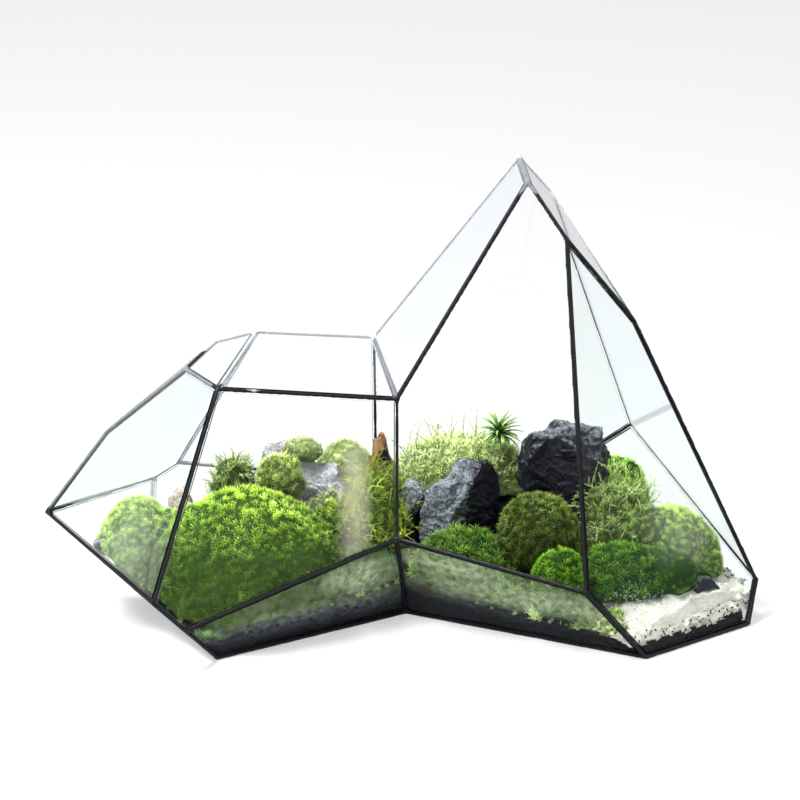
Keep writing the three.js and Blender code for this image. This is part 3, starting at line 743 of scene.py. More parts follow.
def grass_template(blades, length, width):
    """A tuft of thin upright blades that bend outwards, each of its own height and lean."""
    return together([
        leaf(length * (0.65 + 0.35 * ((i * 5) % blades) / blades), width,
             0.06 + 0.13 * (i % 3), 2.4 * i, 0.45, 2)
        for i in range(blades)])


def feathered(length, width, arch, leaflet, gap, turn=0.0, root=(0, 0, 0), lean=0.0):
    """An arching stem with small leaflets all round it, shorter towards its tip."""
    leaves = [leaf(length, width, 0, 0, arch, 3)]
    for i in range(1, int(length * LEAFLETS_END / gap) + 1):
        up = gap * i
        angle = arch * up / length
        place = (up * math.sin(angle), 0, up * math.cos(angle))
        size = leaflet * (1.15 - 0.5 * up / length)
        leaves.append(leaf(
            size, leaflet * LEAFLET_WIDTH, LEAFLET_LEAN, GOLDEN_TURN * i, 0, 0, place, angle * 1.6))
    points, faces = together(leaves)
    turned = Matrix.Rotation(turn, 3, "Z") @ Matrix.Rotation(lean, 3, "Y")
    return (points @ np.array(turned.transposed()) + np.array(root)).astype(np.float32), faces


def strand_template(length, arch, leaflet):
    """A long feathered strand with side branches; each has a place, a turn and a size."""
    parts = [feathered(length, 0.5 * MM, arch, leaflet, 0.95 * MM)]
    for share, turn, size in BRANCHES:
        up = length * share
        angle = arch * share
        root = (up * math.sin(angle), 0, up * math.cos(angle))
        parts.append(feathered(length * size, 0.45 * MM, 0.5, leaflet * 0.85, MM, turn, root, 0.7))
    return together(parts)


TEMPLATES = {
    "star": star_template(8, 3.0 * MM, 0.8 * MM, 0.95),
    "fine": star_template(7, 2.3 * MM, 0.62 * MM, 0.9),
    "grass": grass_template(6, 6.5 * MM, 0.62 * MM),
    "sprig": feathered(7 * MM, 0.5 * MM, 0.45, 1.7 * MM, 0.75 * MM),
    "strand": strand_template(15 * MM, 0.9, 1.4 * MM),
    "wisp": feathered(15 * MM, 0.4 * MM, 0.8, 1.3 * MM, 1.1 * MM),
}
for name, (points, faces) in TEMPLATES.items():
    print("template", name, "has", len(faces), "triangles")

# %% [markdown]
# ## Stamping leaves over a cushion
# Points are drawn at random over the cushion's skin, evenly by area, with a seed so that
# each run gives the same moss. From each point a ray looks outwards: where a pane or a
# neighbour is near, the leaf is made shorter to fit, and where it would touch, it is left
# out. All leaves and the cushion then become one mesh.

# %% Scatter places
def tree_of(names):
    """A search tree over the CAD solids with these names."""
    points, faces = [], []
    for name in names:
        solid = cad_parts[name].data
        start = len(points)
        points.extend(v.co for v in solid.vertices)
        faces.extend(tuple(start + i for i in p.vertices) for p in solid.polygons)
    return BVHTree.FromPolygons(points, faces)


def neighbours_of(node):
    """A search tree over every other solid, for finding the room that a leaf has."""
    return tree_of([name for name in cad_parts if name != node])


def triangles_of(mesh):
    """The three corners of each of the mesh's triangles, as numbers of its points."""
    mesh.calc_loop_triangles()
    corners = np.empty(len(mesh.loop_triangles) * 3, np.int32)
    mesh.loop_triangles.foreach_get("vertices", corners)
    return corners.reshape(-1, 3)


def unit(vectors):
    """The same directions with a length of 1."""
    return vectors / np.linalg.norm(vectors, axis=1)[:, None]


def scatter(mesh, spacing, seed, lowest):
    """Random places over the mesh, their outward normals and the rest of the random draws.

    Places whose normal's Z is under lowest, which face down, are left out."""
    random = np.random.default_rng(seed)
    corners = triangles_of(mesh)
    points, normals = points_of(mesh), normals_of(mesh)
    a, b, c = (points[corners[:, k]] for k in range(3))
    areas = np.linalg.norm(np.cross(b - a, c - a), axis=1) / 2
    count = int(areas.sum() / spacing ** 2)
    chosen = random.choice(len(areas), count, p=areas / areas.sum())
    u, v = random.random((2, count))
    over = u + v > 1
    u[over], v[over] = 1 - u[over], 1 - v[over]
    weights = np.stack([1 - u - v, u, v], 1)[:, :, None]
    places = (points[corners[chosen]] * weights).sum(1)
    facing = unit((normals[corners[chosen]] * weights).sum(1))
    kept = facing[:, 2] > lowest
    return places[kept], facing[kept], random


def free_room(tree, places, facing, reach):
    """How far each place can grow outwards before it meets a neighbour, up to reach."""
    room = np.full(len(places), reach, np.float32)
    for i, (place, normal) in enumerate(zip(places, facing)):
        start = Vector(place)
        hit = tree.ray_cast(start, Vector(normal), reach)
        if hit[0] is not None:
            room[i] = hit[3]
    return room


def clumps(places, size, seed):
    """Soft noise from 0 to 1 at each place; moss grows in clumps of about size metres."""
    return (0.5 + noise_at(places, size, (seed * 1.7, seed * 2.9, seed * 4.3))).clip(0, 1)


print("triangles of the left mound's solid:", len(triangles_of(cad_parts["moss_mound_left"].data)))

# %% Stamp leaves
# The cushion's skin takes the dark root colour: partly the darker stems, partly painted shade in the gaps
# between the leaves.
SKIN_ALONG = 0.08
SKIN_TONE = 0.4
NEARLY_UPRIGHT = 0.9


def stamped(template, places, facing, sizes, lift, random, tone=None):
    """Copies of the template, each turned to face out and up, with a random twist."""
    points, faces = template
    up = unit(facing + np.array([0, 0, lift]))
    helper = np.where(np.abs(up[:, [2]]) < NEARLY_UPRIGHT, [[0.0, 0.0, 1.0]], [[1.0, 0.0, 0.0]])
    side = unit(np.cross(helper, up))
    other = np.cross(up, side)
    twist = random.random(len(places)) * 2 * math.pi
    cos, sin = np.cos(twist)[:, None], np.sin(twist)[:, None]
    axes = np.stack([side * cos + other * sin, other * cos - side * sin, up], 1)
    axes = axes * sizes[:, None, None]
    moved = np.einsum("pk,nkc->npc", points, axes) + places[:, None, :]
    count = len(points)
    linked = faces[None, :, :] + (np.arange(len(places)) * count)[:, None, None]
    distance = np.linalg.norm(points, axis=1)
    along = np.tile(distance / distance.max(), len(places))
    tone = random.random(len(places)) if tone is None else tone
    return moved.reshape(-1, 3), linked.reshape(-1, 3), along, np.repeat(tone, count)


def gather(name, parts):
    """One mesh from several parts of (points, triangles, along, tone)."""
    offsets = np.cumsum([0] + [len(part[0]) for part in parts[:-1]])
    points = np.concatenate([part[0] for part in parts]).astype(np.float32)
    faces = np.concatenate([part[1] + start for part, start in zip(parts, offsets)]).astype(np.int32)
    mesh = bpy.data.meshes.new(name)
    mesh.vertices.add(len(points))
    mesh.vertices.foreach_set("co", points.ravel())
    mesh.loops.add(len(faces) * 3)
    mesh.loops.foreach_set("vertex_index", faces.ravel())
    mesh.polygons.add(len(faces))
    mesh.polygons.foreach_set("loop_start", np.arange(len(faces), dtype=np.int32) * 3)
    mesh.polygons.foreach_set("use_smooth", np.ones(len(faces), bool))
    for attribute, index in (("along", 2), ("tone", 3)):
        store(mesh, attribute, np.concatenate([part[index] for part in parts]))
    mesh.update(calc_edges=True)
    return mesh


def skin_part(mesh):
    """A mesh as a part for gather, coloured as the dark roots: partly darker stems, partly painted shade
    between the leaves.
    """
    count = len(mesh.vertices)
    return points_of(mesh), triangles_of(mesh), np.full(count, SKIN_ALONG), np.full(count, SKIN_TONE)


print("stamping helpers ready")

# %% [markdown]
# ## The mosses
# Cushion mosses wear stars, bushy ones wear blades or sprigs, and strand mosses wear both
# stars and long strands. A cover says which template, how many mm apart its copies stand,
# their size, how far they turn up, how much paler they are than the rest, and, where it
# isn't the whole cushion, the two corners in mm of the part that it covers.

# %% Covers of the mosses
def cover(kind, gap, size=1.0, lift=0.4, paler=0.0, zone=None):
    return dict(kind=kind, gap=gap, size=size, lift=lift, paler=paler, zone=zone)


# For each moss its material slot, its look and its covers.
MOSSES = {
    "moss_mound_left": ("bright_moss", "mound", [cover("star", 2.06, 1.0, 0.6, 0.05)]),
    "moss_dome_far_left": ("pale_moss", "hazed", [cover("fine", 1.75, 1.1, 0.3, 0.15)]),
    "moss_ball_left": ("bright_moss", "ball", [cover("star", 2.0, 1.0, 0.3, 0.15)]),
    "moss_back_left": ("pale_moss", "fluffy", [cover("fine", 1.95, 1.1, 0.25)]),
    "moss_low_waist": ("deep_moss", "shade", [cover("star", 2.3), cover("sprig", 6.0, 0.8, 0.7)]),
    "moss_ball_olive": ("olive_moss", "olive", [
        cover("fine", 1.75, 1.15, 0.2, 0.05), cover("sprig", 7.0, 0.5)]),
    "moss_dome_front": ("bright_moss", "velvet", [cover("fine", 1.6, 1.1, 0.7, 0.2)]),
    "moss_ball_back_right": ("deep_moss", "lawn", [cover("star", 2.1, 1.0, 0.4, 1.2)]),
    "moss_dome_right": ("bright_moss", "hazed", [cover("fine", 1.75, 1.1, 0.4, 0.35)]),
    "moss_front_right": ("bright_moss", "velvet", [
        cover("star", 2.0, 1.1, 0.8), cover("grass", 6.5, 0.6, 0.8)]),
    "moss_hill_back": ("pale_moss", "fluffy", [
        cover("star", 2.5, 1.05, 0.5, 0.2), cover("sprig", 3.5, 0.85, 0.5, 0.25),
        cover("wisp", 5.5, 1.2, 1.0, -0.05, ((2, 15, 70), (44, 70, 110)))]),
    # The third cover paints the grass's front-low tufts paler, as painted light for moss lit from the front
    # behind the lower pane.
    "moss_grass_centre": ("deep_moss", "lawn", [
        cover("star", 2.5, 1.0, 0.5), cover("grass", 3.4, 1.0, 1.4, 0.15),
        cover("star", 2.4, 1.3, 0.5, 0.9, ((0, -60, 8), (80, 10, 36)))]),
    "moss_tuft_back_left": ("deep_moss", "feathery", [
        cover("star", 2.6), cover("sprig", 3.4, 1.2, 1.0, 0.1), cover("wisp", 4.6, 0.7, 1.0, 0.2)]),
    "moss_crumb_left": ("bright_moss", "fluffy", [
        cover("star", 2.2, 0.9, 0.6), cover("sprig", 3.0, 0.5, 0.8)]),
    "strand_moss_left": ("pale_moss", "yellow", [cover("star", 2.6), cover("strand", 5.0, 0.8, 0.7, 0.05)]),
    "strand_moss_waist": ("bright_moss", "yellow", [
        cover("star", 2.6), cover("strand", 4.8, 0.85, 0.9, 0.1),
        cover("wisp", 3.6, 0.9, 1.3, -0.1, ((-30, -30, 58), (2, 20, 100)))]),
    "strand_moss_right": ("pale_moss", "feathery", [
        cover("star", 2.4, 1.1), cover("sprig", 3.4, 0.9, 0.6, 0.1), cover("strand", 6.5, 1.0, 0.3, 0.2),
        cover("wisp", 4.5, 1.1, 0.1, 0.5)]),
}
print(len(MOSSES), "mosses with", sum(len(covers) for _, _, covers in MOSSES.values()), "covers")

# %% Moss cushions
# What stands above a height is pressed down to a share, because the real one is lower there.
FLATTENED = {"moss_hill_back": (75 * MM, 0.35), "rock_slate_right": (95 * MM, 0.55)}
# How far a cushion is drawn in under its leaves, where it isn't DRAWN_IN.
DRAWN = {"moss_crumb_left": -0.3 * MM, "strand_moss_right": 0.5 * MM, "strand_moss_waist": -1.5 * MM}
DRAWN_IN = 1.5 * MM
BUSH_SIZE = 30 * MM
COARSE_VOXEL = 3.4 * MM
FINE_VOXEL = 2.2 * MM
LUMP, LUMP_HEIGHT_MM = 11 * MM, 1.5
KNOB, KNOB_HEIGHT_MM = 4.5 * MM, 0.6


def moss_skin(node):
    """The smooth, lumpy cushion under the leaves. A large bush loses its solid tufts first."""
    piece = solid_copy(node, node + "_growth")
    bushy = len(MOSSES[node][2]) > 1
    if bushy and max(piece.dimensions) > BUSH_SIZE:
        remeshed(piece, COARSE_VOXEL, 3)
    remeshed(piece, FINE_VOXEL, 4)
    seed = len(node)
    soft = lumps(piece.data, LUMP, seed) * LUMP_HEIGHT_MM * MM
    soft += lumps(piece.data, KNOB, seed) * KNOB_HEIGHT_MM * MM
    push(piece.data, soft - DRAWN.get(node, DRAWN_IN))
    flatten_top(piece.data, node)
    return piece


def flatten_top(mesh, node):
    """What stands above the node's start height is pressed down to a share of its height."""
    if node in FLATTENED:
        start, kept = FLATTENED[node]
        points = points_of(mesh)
        points[:, 2] -= (points[:, 2] - start).clip(0, None) * (1 - kept)
        move_to(mesh, points)


print("pressed down at the top:", ", ".join(FLATTENED))

# %% Tufts
TUCKED = 0.4 * MM
CLUMP = 3.0 * MM
SIZE_RANGE = (0.75, 1.15)
CLUMP_START, CLUMP_GAIN = 0.7, 0.6
LOOK_AHEAD = 1.6
LEAST_ROOM = 0.35
TONE_OF_CLUMP, TONE_OF_LEAF = 0.45, 0.55
FULL_LIGHT = 0.8
PAINTED_SHADE_LIMITS = (0.3, 2)
TONE_LIMITS = (0.02, 2)


def tufts(skin, tree, layer, seed, tucked=TUCKED, near=None, painted_shade=0.0, lowest=-0.45):
    """One cover's tufts over a skin, as a part for gather; near may leave places out.

    Tucked is how deep the tufts are rooted, and the painted shade how much darker they are painted towards
    the foot."""
    template = TEMPLATES[layer["kind"]]
    places, facing, random = scatter(skin, layer["gap"] * MM, seed, lowest)
    wanted = np.ones(len(places), bool) if near is None else near(places)
    if layer["zone"]:
        low, high = (np.array(corner) * MM for corner in layer["zone"])
        wanted &= np.all((places > low) & (places < high), axis=1)
    places, facing = places[wanted], facing[wanted]
    tall = template[0][:, 2].max() * layer["size"]
    clump = clumps(places, CLUMP, seed)
    sizes = layer["size"] * random.uniform(*SIZE_RANGE, len(places))
    sizes = sizes * (CLUMP_START + CLUMP_GAIN * clump)
    room = free_room(tree, places, facing, tall * LOOK_AHEAD) / tall
    sizes = np.minimum(sizes, sizes * room)
    tone = TONE_OF_CLUMP * clump + TONE_OF_LEAF * random.random(len(places))
    tone = tone.clip(0, 1) + layer["paler"]
    # Painted shade: tufts low on a moss are painted darker than those at its top.
    levels = points_of(skin)[:, 2]
    risen = (places[:, 2] - levels.min()) / (levels.max() - levels.min())
    light = (1 + painted_shade * (risen - FULL_LIGHT)).clip(*PAINTED_SHADE_LIMITS)
    tone = (tone * light).clip(*TONE_LIMITS)
    kept = sizes > LEAST_ROOM * layer["size"]
    rooted = places[kept] - facing[kept] * tucked
    return stamped(template, rooted, facing[kept], sizes[kept], layer["lift"], random, tone[kept])


print("before clumping, tufts are", SIZE_RANGE[0], "to", SIZE_RANGE[1], "times their cover's size")

# %% Grow the mosses
# Painted shade: how much darker the growth is painted from a moss's top to its foot; a moss that isn't
# listed takes the plain number below.
PAINTED_SHADE_DOWNWARDS = {
    "moss_mound_left": 2.4, "moss_ball_left": 1.2, "moss_ball_olive": 0.9, "moss_dome_front": 0.7,
    "moss_grass_centre": 0.6, "moss_dome_right": 0.7, "strand_moss_waist": -0.8, "strand_moss_right": 0.8,
    "moss_front_right": 0.6, "moss_hill_back": 1.2,
}
PLAIN_PAINTED_SHADE = 0.2


def grow(node, seed):
    slot, look, layers = MOSSES[node]
    piece = moss_skin(node)
    tree = neighbours_of(node)
    painted_shade = PAINTED_SHADE_DOWNWARDS.get(node, PLAIN_PAINTED_SHADE)
    parts = [skin_part(piece.data)]
    for i, layer in enumerate(layers):
        parts.append(tufts(piece.data, tree, layer, seed + 100 * i, painted_shade=painted_shade))
    piece.data = gather(piece.name, parts)
    hand_over(piece, look, node)


for number, node in enumerate(MOSSES, start=1):
    grow(node, number)

# %% [markdown]
# ## The saddles between two cushions
# Where two mosses have grown into each other, a low saddle of moss fills the dip between
# them: between the left dome and the mound, and on both sides of the right dome. Each starts
# as a ball that is stretched to fit, made lumpy as the cushions are, and given leaves where
# it stands out of its neighbours.

# %% Moss saddles
SADDLES = {
    "moss_saddle": dict(
        middle=(-131, -8, 37), reach=(25, 24, 22), beside=["moss_dome_far_left", "moss_mound_left"],
        look="hazed", slot="pale_moss", gap=1.8),
    "moss_saddle_right": dict(
        middle=(133, -10, 47), reach=(20, 14, 15), beside=["moss_dome_right", "strand_moss_right"],
        look="feathery", slot="pale_moss", gap=2.0),
    "moss_saddle_corner": dict(
        middle=(137, -29, 31), reach=(22, 13, 16), beside=["moss_dome_right", "moss_front_right"],
        look="velvet", slot="bright_moss", gap=2.0),
}
SADDLE_SEED = 12


def make_saddle(name, middle, reach, beside, look, slot, gap):
    """A saddle of moss; its middle, its reach and the gap between its tufts are in mm."""
    form = bmesh.new()
    bmesh.ops.create_icosphere(form, subdivisions=4, radius=MM)
    bmesh.ops.scale(form, vec=reach, verts=form.verts)
    bmesh.ops.translate(form, vec=Vector(middle) * MM, verts=form.verts)
    mesh = mesh_of(form, name)
    push(mesh, lumps(mesh, LUMP, SADDLE_SEED) * LUMP_HEIGHT_MM * MM)
    cushions = tree_of(beside)

    def outside(places):
        nearest = [cushions.find_nearest(Vector(place)) for place in places]
        return np.array([(Vector(p) - n[0]).dot(n[1]) > 0 for p, n in zip(places, nearest)])

    layer = cover("fine", gap, 1.1, 0.3, 0.15)
    leaves = tufts(mesh, tree_of(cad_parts), layer, SADDLE_SEED, near=outside)
    hand_over(link(name, gather(name, [skin_part(mesh), leaves])), look)


for name, settings in SADDLES.items():
    make_saddle(name, **settings)

# %% [markdown]
# ## The star plant
# One taller moss stands on the back hill: a rosette of narrow pointed leaves round a short
# stem. Its leaves are single bent cones, longer and wider than the leaflets above, turned by
# the golden angle so that they never line up.

# %% Star plant
STAR_LEAVES = 38
STAR_LEAF = 15 * MM
STAR_LEAF_WIDTH = 2.3 * MM
STAR_HEART_DEPTH = 12 * MM
STAR_HEART_HEIGHT = 1.8 * MM
STAR_STEM_WIDTH = 2.6 * MM
STAR_STEM_ROOT = 2 * MM
STAR_STEM_EXTRA = 6 * MM
STAR_TONE = 0.65


def make_star_plant():
    low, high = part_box("star_moss")
    heart = Vector(((low.x + high.x) / 2, (low.y + high.y) / 2, high.z - STAR_HEART_DEPTH))
    depth = heart.z - low.z
    parts = [leaf(depth + STAR_STEM_EXTRA, STAR_STEM_WIDTH, root=(0, 0, -depth - STAR_STEM_ROOT))]
    for i in range(STAR_LEAVES):
        share = i / STAR_LEAVES
        length = STAR_LEAF * (1.02 - 0.25 * abs(share - 0.5))
        place = (0, 0, -STAR_HEART_HEIGHT * share)
        lean = 0.15 + 1.7 * share
        parts.append(leaf(length, STAR_LEAF_WIDTH, lean, GOLDEN_TURN * i, 0.5, 3, place, full=0.8))
    points, faces = together(parts)
    along = (np.linalg.norm(points, axis=1) / STAR_LEAF).clip(0, 1)
    tone = np.full(len(points), STAR_TONE)
    piece = link("star_plant", gather("star_plant", [(points + np.array(heart), faces, along, tone)]))
    hand_over(piece, "star", "star_moss")


make_star_plant()

# %% [markdown]
# ## Rocks
# Slate splits along parallel sheets, so its skin is stepped: the distance along the splitting
# direction, bent by noise, is cut into terraces. Wide cells from a second noise make the big
# facets, and fine noise roughens them. The other stones take the same steps more gently.
# Each rock also has a side that is painted pale as painted light: its top, or the side that was turned to
# the light. Its share is worked out on the finished skin, so that the ledges of the clefts catch it too.

# %% Shape the rocks
# For each rock its finish, how strong its clefts are and the direction in which it splits, and then the side
# where light is painted, how much painted light it starts with, and how much its facing and its place add.
ROCKS = {
    "rock_slate_right": ("slate", 1.25, (0.75, 0.2, 0.6), (0.05, 0.1, 1.0), -0.05, 0.62, 0.14),
    "rock_slate_left": ("slate", 1.3, (0.3, -0.3, 0.85), (-0.93, -0.3, 0.2), 0.36, 0.3, 1.0),
    "rock_slate_small": ("slate", 1.0, (0.3, 0.1, 0.9), (-0.3, -0.1, 0.9), 0.3, 0.4, 0.5),
    "rock_grey_left": ("grey_rock", 1.2, (0.3, 0.2, 0.9), (0, 0, 1), 0.5, 0.45, 0.45),
    "stone_pink": ("pink_stone", 0.5, (0.2, 0.5, 0.8), (0, 0, 1), 0.5, 0.45, 0.45),
    "stone_far_left": ("slate", 0.4, (0.5, 0.5, 0.7), (-0.3, 0, 0.9), 0.2, 0.45, 0.45),
    "stone_right": ("slate", 0.5, (0.4, 0.4, 0.8), (-0.3, 0, 0.9), 0.1, 0.45, 0.3),
}
ROCK_VOXEL = 1.05 * MM
SHEET = 4.6 * MM
BEND, BENT_SHEETS = 14 * MM, 2.6
FACET, FACET_EDGE = 12 * MM, 1.6
CHIP = 5 * MM
PIT = 2.2 * MM
STEP_PART, FACET_PART, CHIP_PART, PIT_PART = 0.3, 0.8, 0.5, 0.25
CLEFT_DEPTH_MM = 1.5
ROCK_SHARE = 0.6


def cleft(point, direction, seed):
    """Height of the stepped skin at a point, from about -1 to 1."""
    shift = Vector((seed, seed * 2.3, seed * 3.1))
    bent = noise.noise(point / BEND + shift) * BENT_SHEETS
    sheet = point.dot(direction) / SHEET + bent
    step = sheet - math.floor(sheet)
    cells = noise.voronoi(point / FACET + shift)[0]
    facet = min(1.0, (cells[1] - cells[0]) * FACET_EDGE)
    broken = noise.noise(point / CHIP + shift)
    rough = noise.noise(point / PIT + shift)
    steps = STEP_PART * (step ** 2 - 0.4) * (1 + broken)
    return steps + FACET_PART * (facet - 0.5) + CHIP_PART * broken + PIT_PART * rough


def greyed(mesh, side, start, by_facing, by_place):
    """How much painted light each point gets, from 0 to 1: by the way it faces the lit side and by where it
    lies.
    """
    points, normals = points_of(mesh), normals_of(mesh)
    side = np.array(side) / np.linalg.norm(side)
    middle = (points.min(0) + points.max(0)) / 2
    lies = (points - middle) @ side
    lies /= np.abs(lies).max()
    return (start + by_facing * (normals @ side) + by_place * lies).clip(0, 1)


def shape_rock(node, finish, strength, direction, side, start, by_facing, by_place, seed):
    piece = remeshed(solid_copy(node, node + "_cleft"), ROCK_VOXEL, 1)
    flatten_top(piece.data, node)
    axis = Vector(direction).normalized()
    heights = np.array([cleft(v.co, axis, seed) for v in piece.data.vertices], np.float32)
    push(piece.data, (heights - 0.5) * strength * CLEFT_DEPTH_MM * MM)
    thinned(piece, ROCK_SHARE)
    # The painted light is stored for the slate finish to read.
    store(piece.data, "weather", greyed(piece.data, side, start, by_facing, by_place))
    hand_over(piece, finish, node)


for number, (node, settings) in enumerate(ROCKS.items(), start=1):
    shape_rock(node, *settings, seed=number)

# %% [markdown]
# ## Driftwood
# The wood's fibres run along it, so its noise is stretched along Z: grooves that go up and
# down, and a few deep cracks where the noise is lowest. Before they are cut, the top is
# drawn in and lowered on one side to a ragged peak, and a hollow is pressed into its front.

# %% Shape the driftwood
# The hollow's place, reach and depth and the depths of the grooves and cracks are in mm.
WOOD_VOXEL = 0.7 * MM
WOOD_TAPER = 0.3
WOOD_LEAN = 1.0 * MM
WOOD_PEAK = -10.5 * MM
WOOD_SLOPE = 1.7
WOOD_HOLLOW = np.array((-8.0, 12.0, 82.0))
WOOD_HOLLOW_REACH = np.array((4.0, 9.0, 6.5))
WOOD_HOLLOW_RIM = 1.4
WOOD_HOLLOW_DEPTH = 3
FIBRE_STRETCH = 0.18
GROOVE, GROOVE_DEPTH = 1.9 * MM, 0.55
CRACK, CRACK_DEPTH, CRACK_LEVEL = 5 * MM, 2.6, -0.15
WOOD_DRAWN_IN = 0.4


def bend_wood(mesh, low, high):
    """Narrows the top, slopes it down on one side and presses the hollow into the front."""
    points = points_of(mesh)
    rise = ((points[:, 2] - low.z) / (high.z - low.z)).clip(0, 1)
    middle = (low.x + high.x) / 2
    drawn = (points[:, 0] - middle) * (1 - WOOD_TAPER * rise ** 2)
    points[:, 0] = middle + drawn - WOOD_LEAN * rise ** 2
    points[:, 2] -= (points[:, 0] - WOOD_PEAK).clip(0, 1) * WOOD_SLOPE * rise ** 3
    away = np.linalg.norm((points / MM - WOOD_HOLLOW) / WOOD_HOLLOW_REACH, axis=1)
    hollow = (WOOD_HOLLOW_RIM - away).clip(0, 1)
    points[:, 1] += hollow * WOOD_HOLLOW_DEPTH * MM
    # The hollow's share is stored for the painted shade inside it.
    store(mesh, "hollow", hollow)
    move_to(mesh, points)


def fibre(point):
    """Height of the grooved skin at a point, in metres."""
    place = Vector((point.x, point.y, point.z * FIBRE_STRETCH))
    groove = noise.noise(place / GROOVE)
    crack = min(0.0, noise.noise(place / CRACK) - CRACK_LEVEL)
    return (GROOVE_DEPTH * groove + CRACK_DEPTH * crack - WOOD_DRAWN_IN) * MM


def shape_driftwood():
    piece = remeshed(solid_copy("driftwood", "driftwood_grain"), WOOD_VOXEL, 2)
    bend_wood(piece.data, *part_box("driftwood"))
    push(piece.data, [fibre(vertex.co) for vertex in piece.data.vertices])
    piece.data.shade_smooth()
    hand_over(piece, "driftwood", "driftwood")


shape_driftwood()

# %% [markdown]
# ## Soil and sand
# Both beds are loose grains. The bed itself is the solid, remeshed and roughened, and grains
# are stamped over it: small crushed balls with eight faces, black for the soil and cream for
# the sand. Loose soil lies against its case, so the sides of a bed are moved straight out
# until they almost touch the panes.

# %% Grains
PRESS_REACH = 6.5 * MM
SIDE_LEVEL = 0.55
SIDE_SLANT = 0.45
BED_LUMP = 6 * MM
BED_LOWEST = -0.85
GRAIN_SIZES = (0.5, 1.25)
case_tree = tree_of(PANES + ["seam_net"])


def grain_template(size, squash):
    """A crushed ball with eight faces."""
    form = bmesh.new()
    bmesh.ops.create_uvsphere(form, u_segments=4, v_segments=2, radius=size / 2)
    for vertex in form.verts:
        vertex.co *= 1 + 0.35 * noise.noise(vertex.co / size * 3)
        vertex.co.z *= squash
    return as_template(form)


def press_to_glass(mesh, gap):
    """Moves the sides of a bed straight out until they lie a small gap from the pane there."""
    points, outward = points_of(mesh), normals_of(mesh)
    beside = outward[:, 2] < SIDE_LEVEL
    outward[:, 2] = 0
    slant = np.linalg.norm(outward, axis=1)
    for i in np.flatnonzero(beside & (slant > SIDE_SLANT)):
        way = Vector(outward[i] / slant[i])
        hit = case_tree.ray_cast(Vector(points[i]), way, PRESS_REACH)
        if hit[0] is not None:
            points[i] += np.array(way) * (hit[3] - gap)
    move_to(mesh, points)


def make_bed(node, slot, grain, voxel, rough, drawn, sunk, gap, spacing, seed, spilled=None):
    """Dresses a bed in grains and gives back the bare bed, for what lies on it.

    Rough is how high its top is ruffled, drawn how far the skin is drawn in, sunk how far its
    underside moves down to rest on what carries it, and gap how far its sides stay from the
    glass. Spilled is a part that is melted into it."""
    piece = solid_copy(node, node + "_grains")
    if spilled:
        piece.data = gather(piece.name, [skin_part(piece.data), spilled])
    bare = remeshed(piece, voxel, 2).data
    level = normals_of(bare)[:, 2]
    under = (-level * 2).clip(0, 1)
    ruffled = lumps(bare, BED_LUMP, seed) * rough * level.clip(0, 1)
    push(bare, (ruffled - drawn) * (1 - under) + sunk * under)
    press_to_glass(bare, gap)
    places, facing, random = scatter(bare, spacing, seed, BED_LOWEST)
    sizes = random.uniform(*GRAIN_SIZES, len(places))
    grains = stamped(grain, places, facing, sizes, 0.0, random)
    piece.data = gather(piece.name, [skin_part(bare), grains])
    hand_over(piece, slot, node)
    return bare


bare_soil = make_bed(
    "soil_bed", "soil", grain_template(1.9 * MM, 0.8), voxel=2.5 * MM, rough=0.4 * MM,
    drawn=0.7 * MM, sunk=1.0 * MM, gap=1.0 * MM, spacing=5.4 * MM, seed=5)

# %% [markdown]
# ## The sand and its spill
# The sand lies against the glass, and some of it has run down between the soil and the pane.
# Flat blobs are laid over the soil's front where the spill is, and the remesh melts them and
# the drift into one skin.

# %% Sand
SPILL_LEFT, SPILL_BACK, SPILL_FOOT = 117, 5, 7.6
SPILL_RIGHT, SPILL_CORNER, SPILL_SLANT = 190, -14, 0.72
SPILL_RAGGED = 2.4


def spilled_sand():
    """The spill, right of and in front of a slanting line and above a ragged foot, in mm."""
    places, facing, random = scatter(bare_soil, 1.5 * MM, 62, lowest=-0.9)
    x, y, z = (places[:, k] / MM for k in range(3))
    front = y < SPILL_CORNER - (x - SPILL_RIGHT) * SPILL_SLANT
    high = z + noise_at(places, 5 * MM) * SPILL_RAGGED > SPILL_FOOT
    kept = (x > SPILL_LEFT) & (y < SPILL_BACK) & front & high
    blob = grain_template(5 * MM, 0.3)
    return stamped(blob, places[kept], facing[kept], np.ones(kept.sum()), 0.0, random)


bare_sand = make_bed(
    "sand_drift", "sand", grain_template(0.8 * MM, 0.9), voxel=1.1 * MM, rough=2.2 * MM,
    drawn=-0.2 * MM, sunk=0.3 * MM, gap=0.7 * MM, spacing=1.3 * MM, seed=6, spilled=spilled_sand())

# %% [markdown]
# ## Grit
# Black grains of soil have washed over the sand's low edge and into its far corner. They are
# scattered grains, rooted on the sand's skin.

# %% Grit
LOW_EDGE_MM, CORNER_RIGHT_MM, CORNER_BACK_MM = 12, 172, -12
EDGE_SHARE, CORNER_SHARE, STRAY_SHARE = 0.3, 0.5, 0.006
GRIT_SIZES = (0.4, 1.1)


def make_grit():
    places, facing, random = scatter(bare_sand, 1.5 * MM, 61, lowest=-0.3)
    x, y, z = (places[:, k] / MM for k in range(3))
    low_edge = (z < LOW_EDGE_MM) & (random.random(len(places)) < EDGE_SHARE)
    corner = (x > CORNER_RIGHT_MM) & (y > CORNER_BACK_MM)
    corner &= random.random(len(places)) < CORNER_SHARE
    stray = random.random(len(places)) < STRAY_SHARE
    kept = low_edge | corner | stray
    sizes = random.uniform(*GRIT_SIZES, kept.sum())
    grains = stamped(grain_template(1.5 * MM, 0.85), places[kept], facing[kept], sizes, 0.0, random)
    hand_over(link("sand_grit", gather("sand_grit", [grains])), "soil")
    print("grains of grit:", kept.sum())


make_grit()

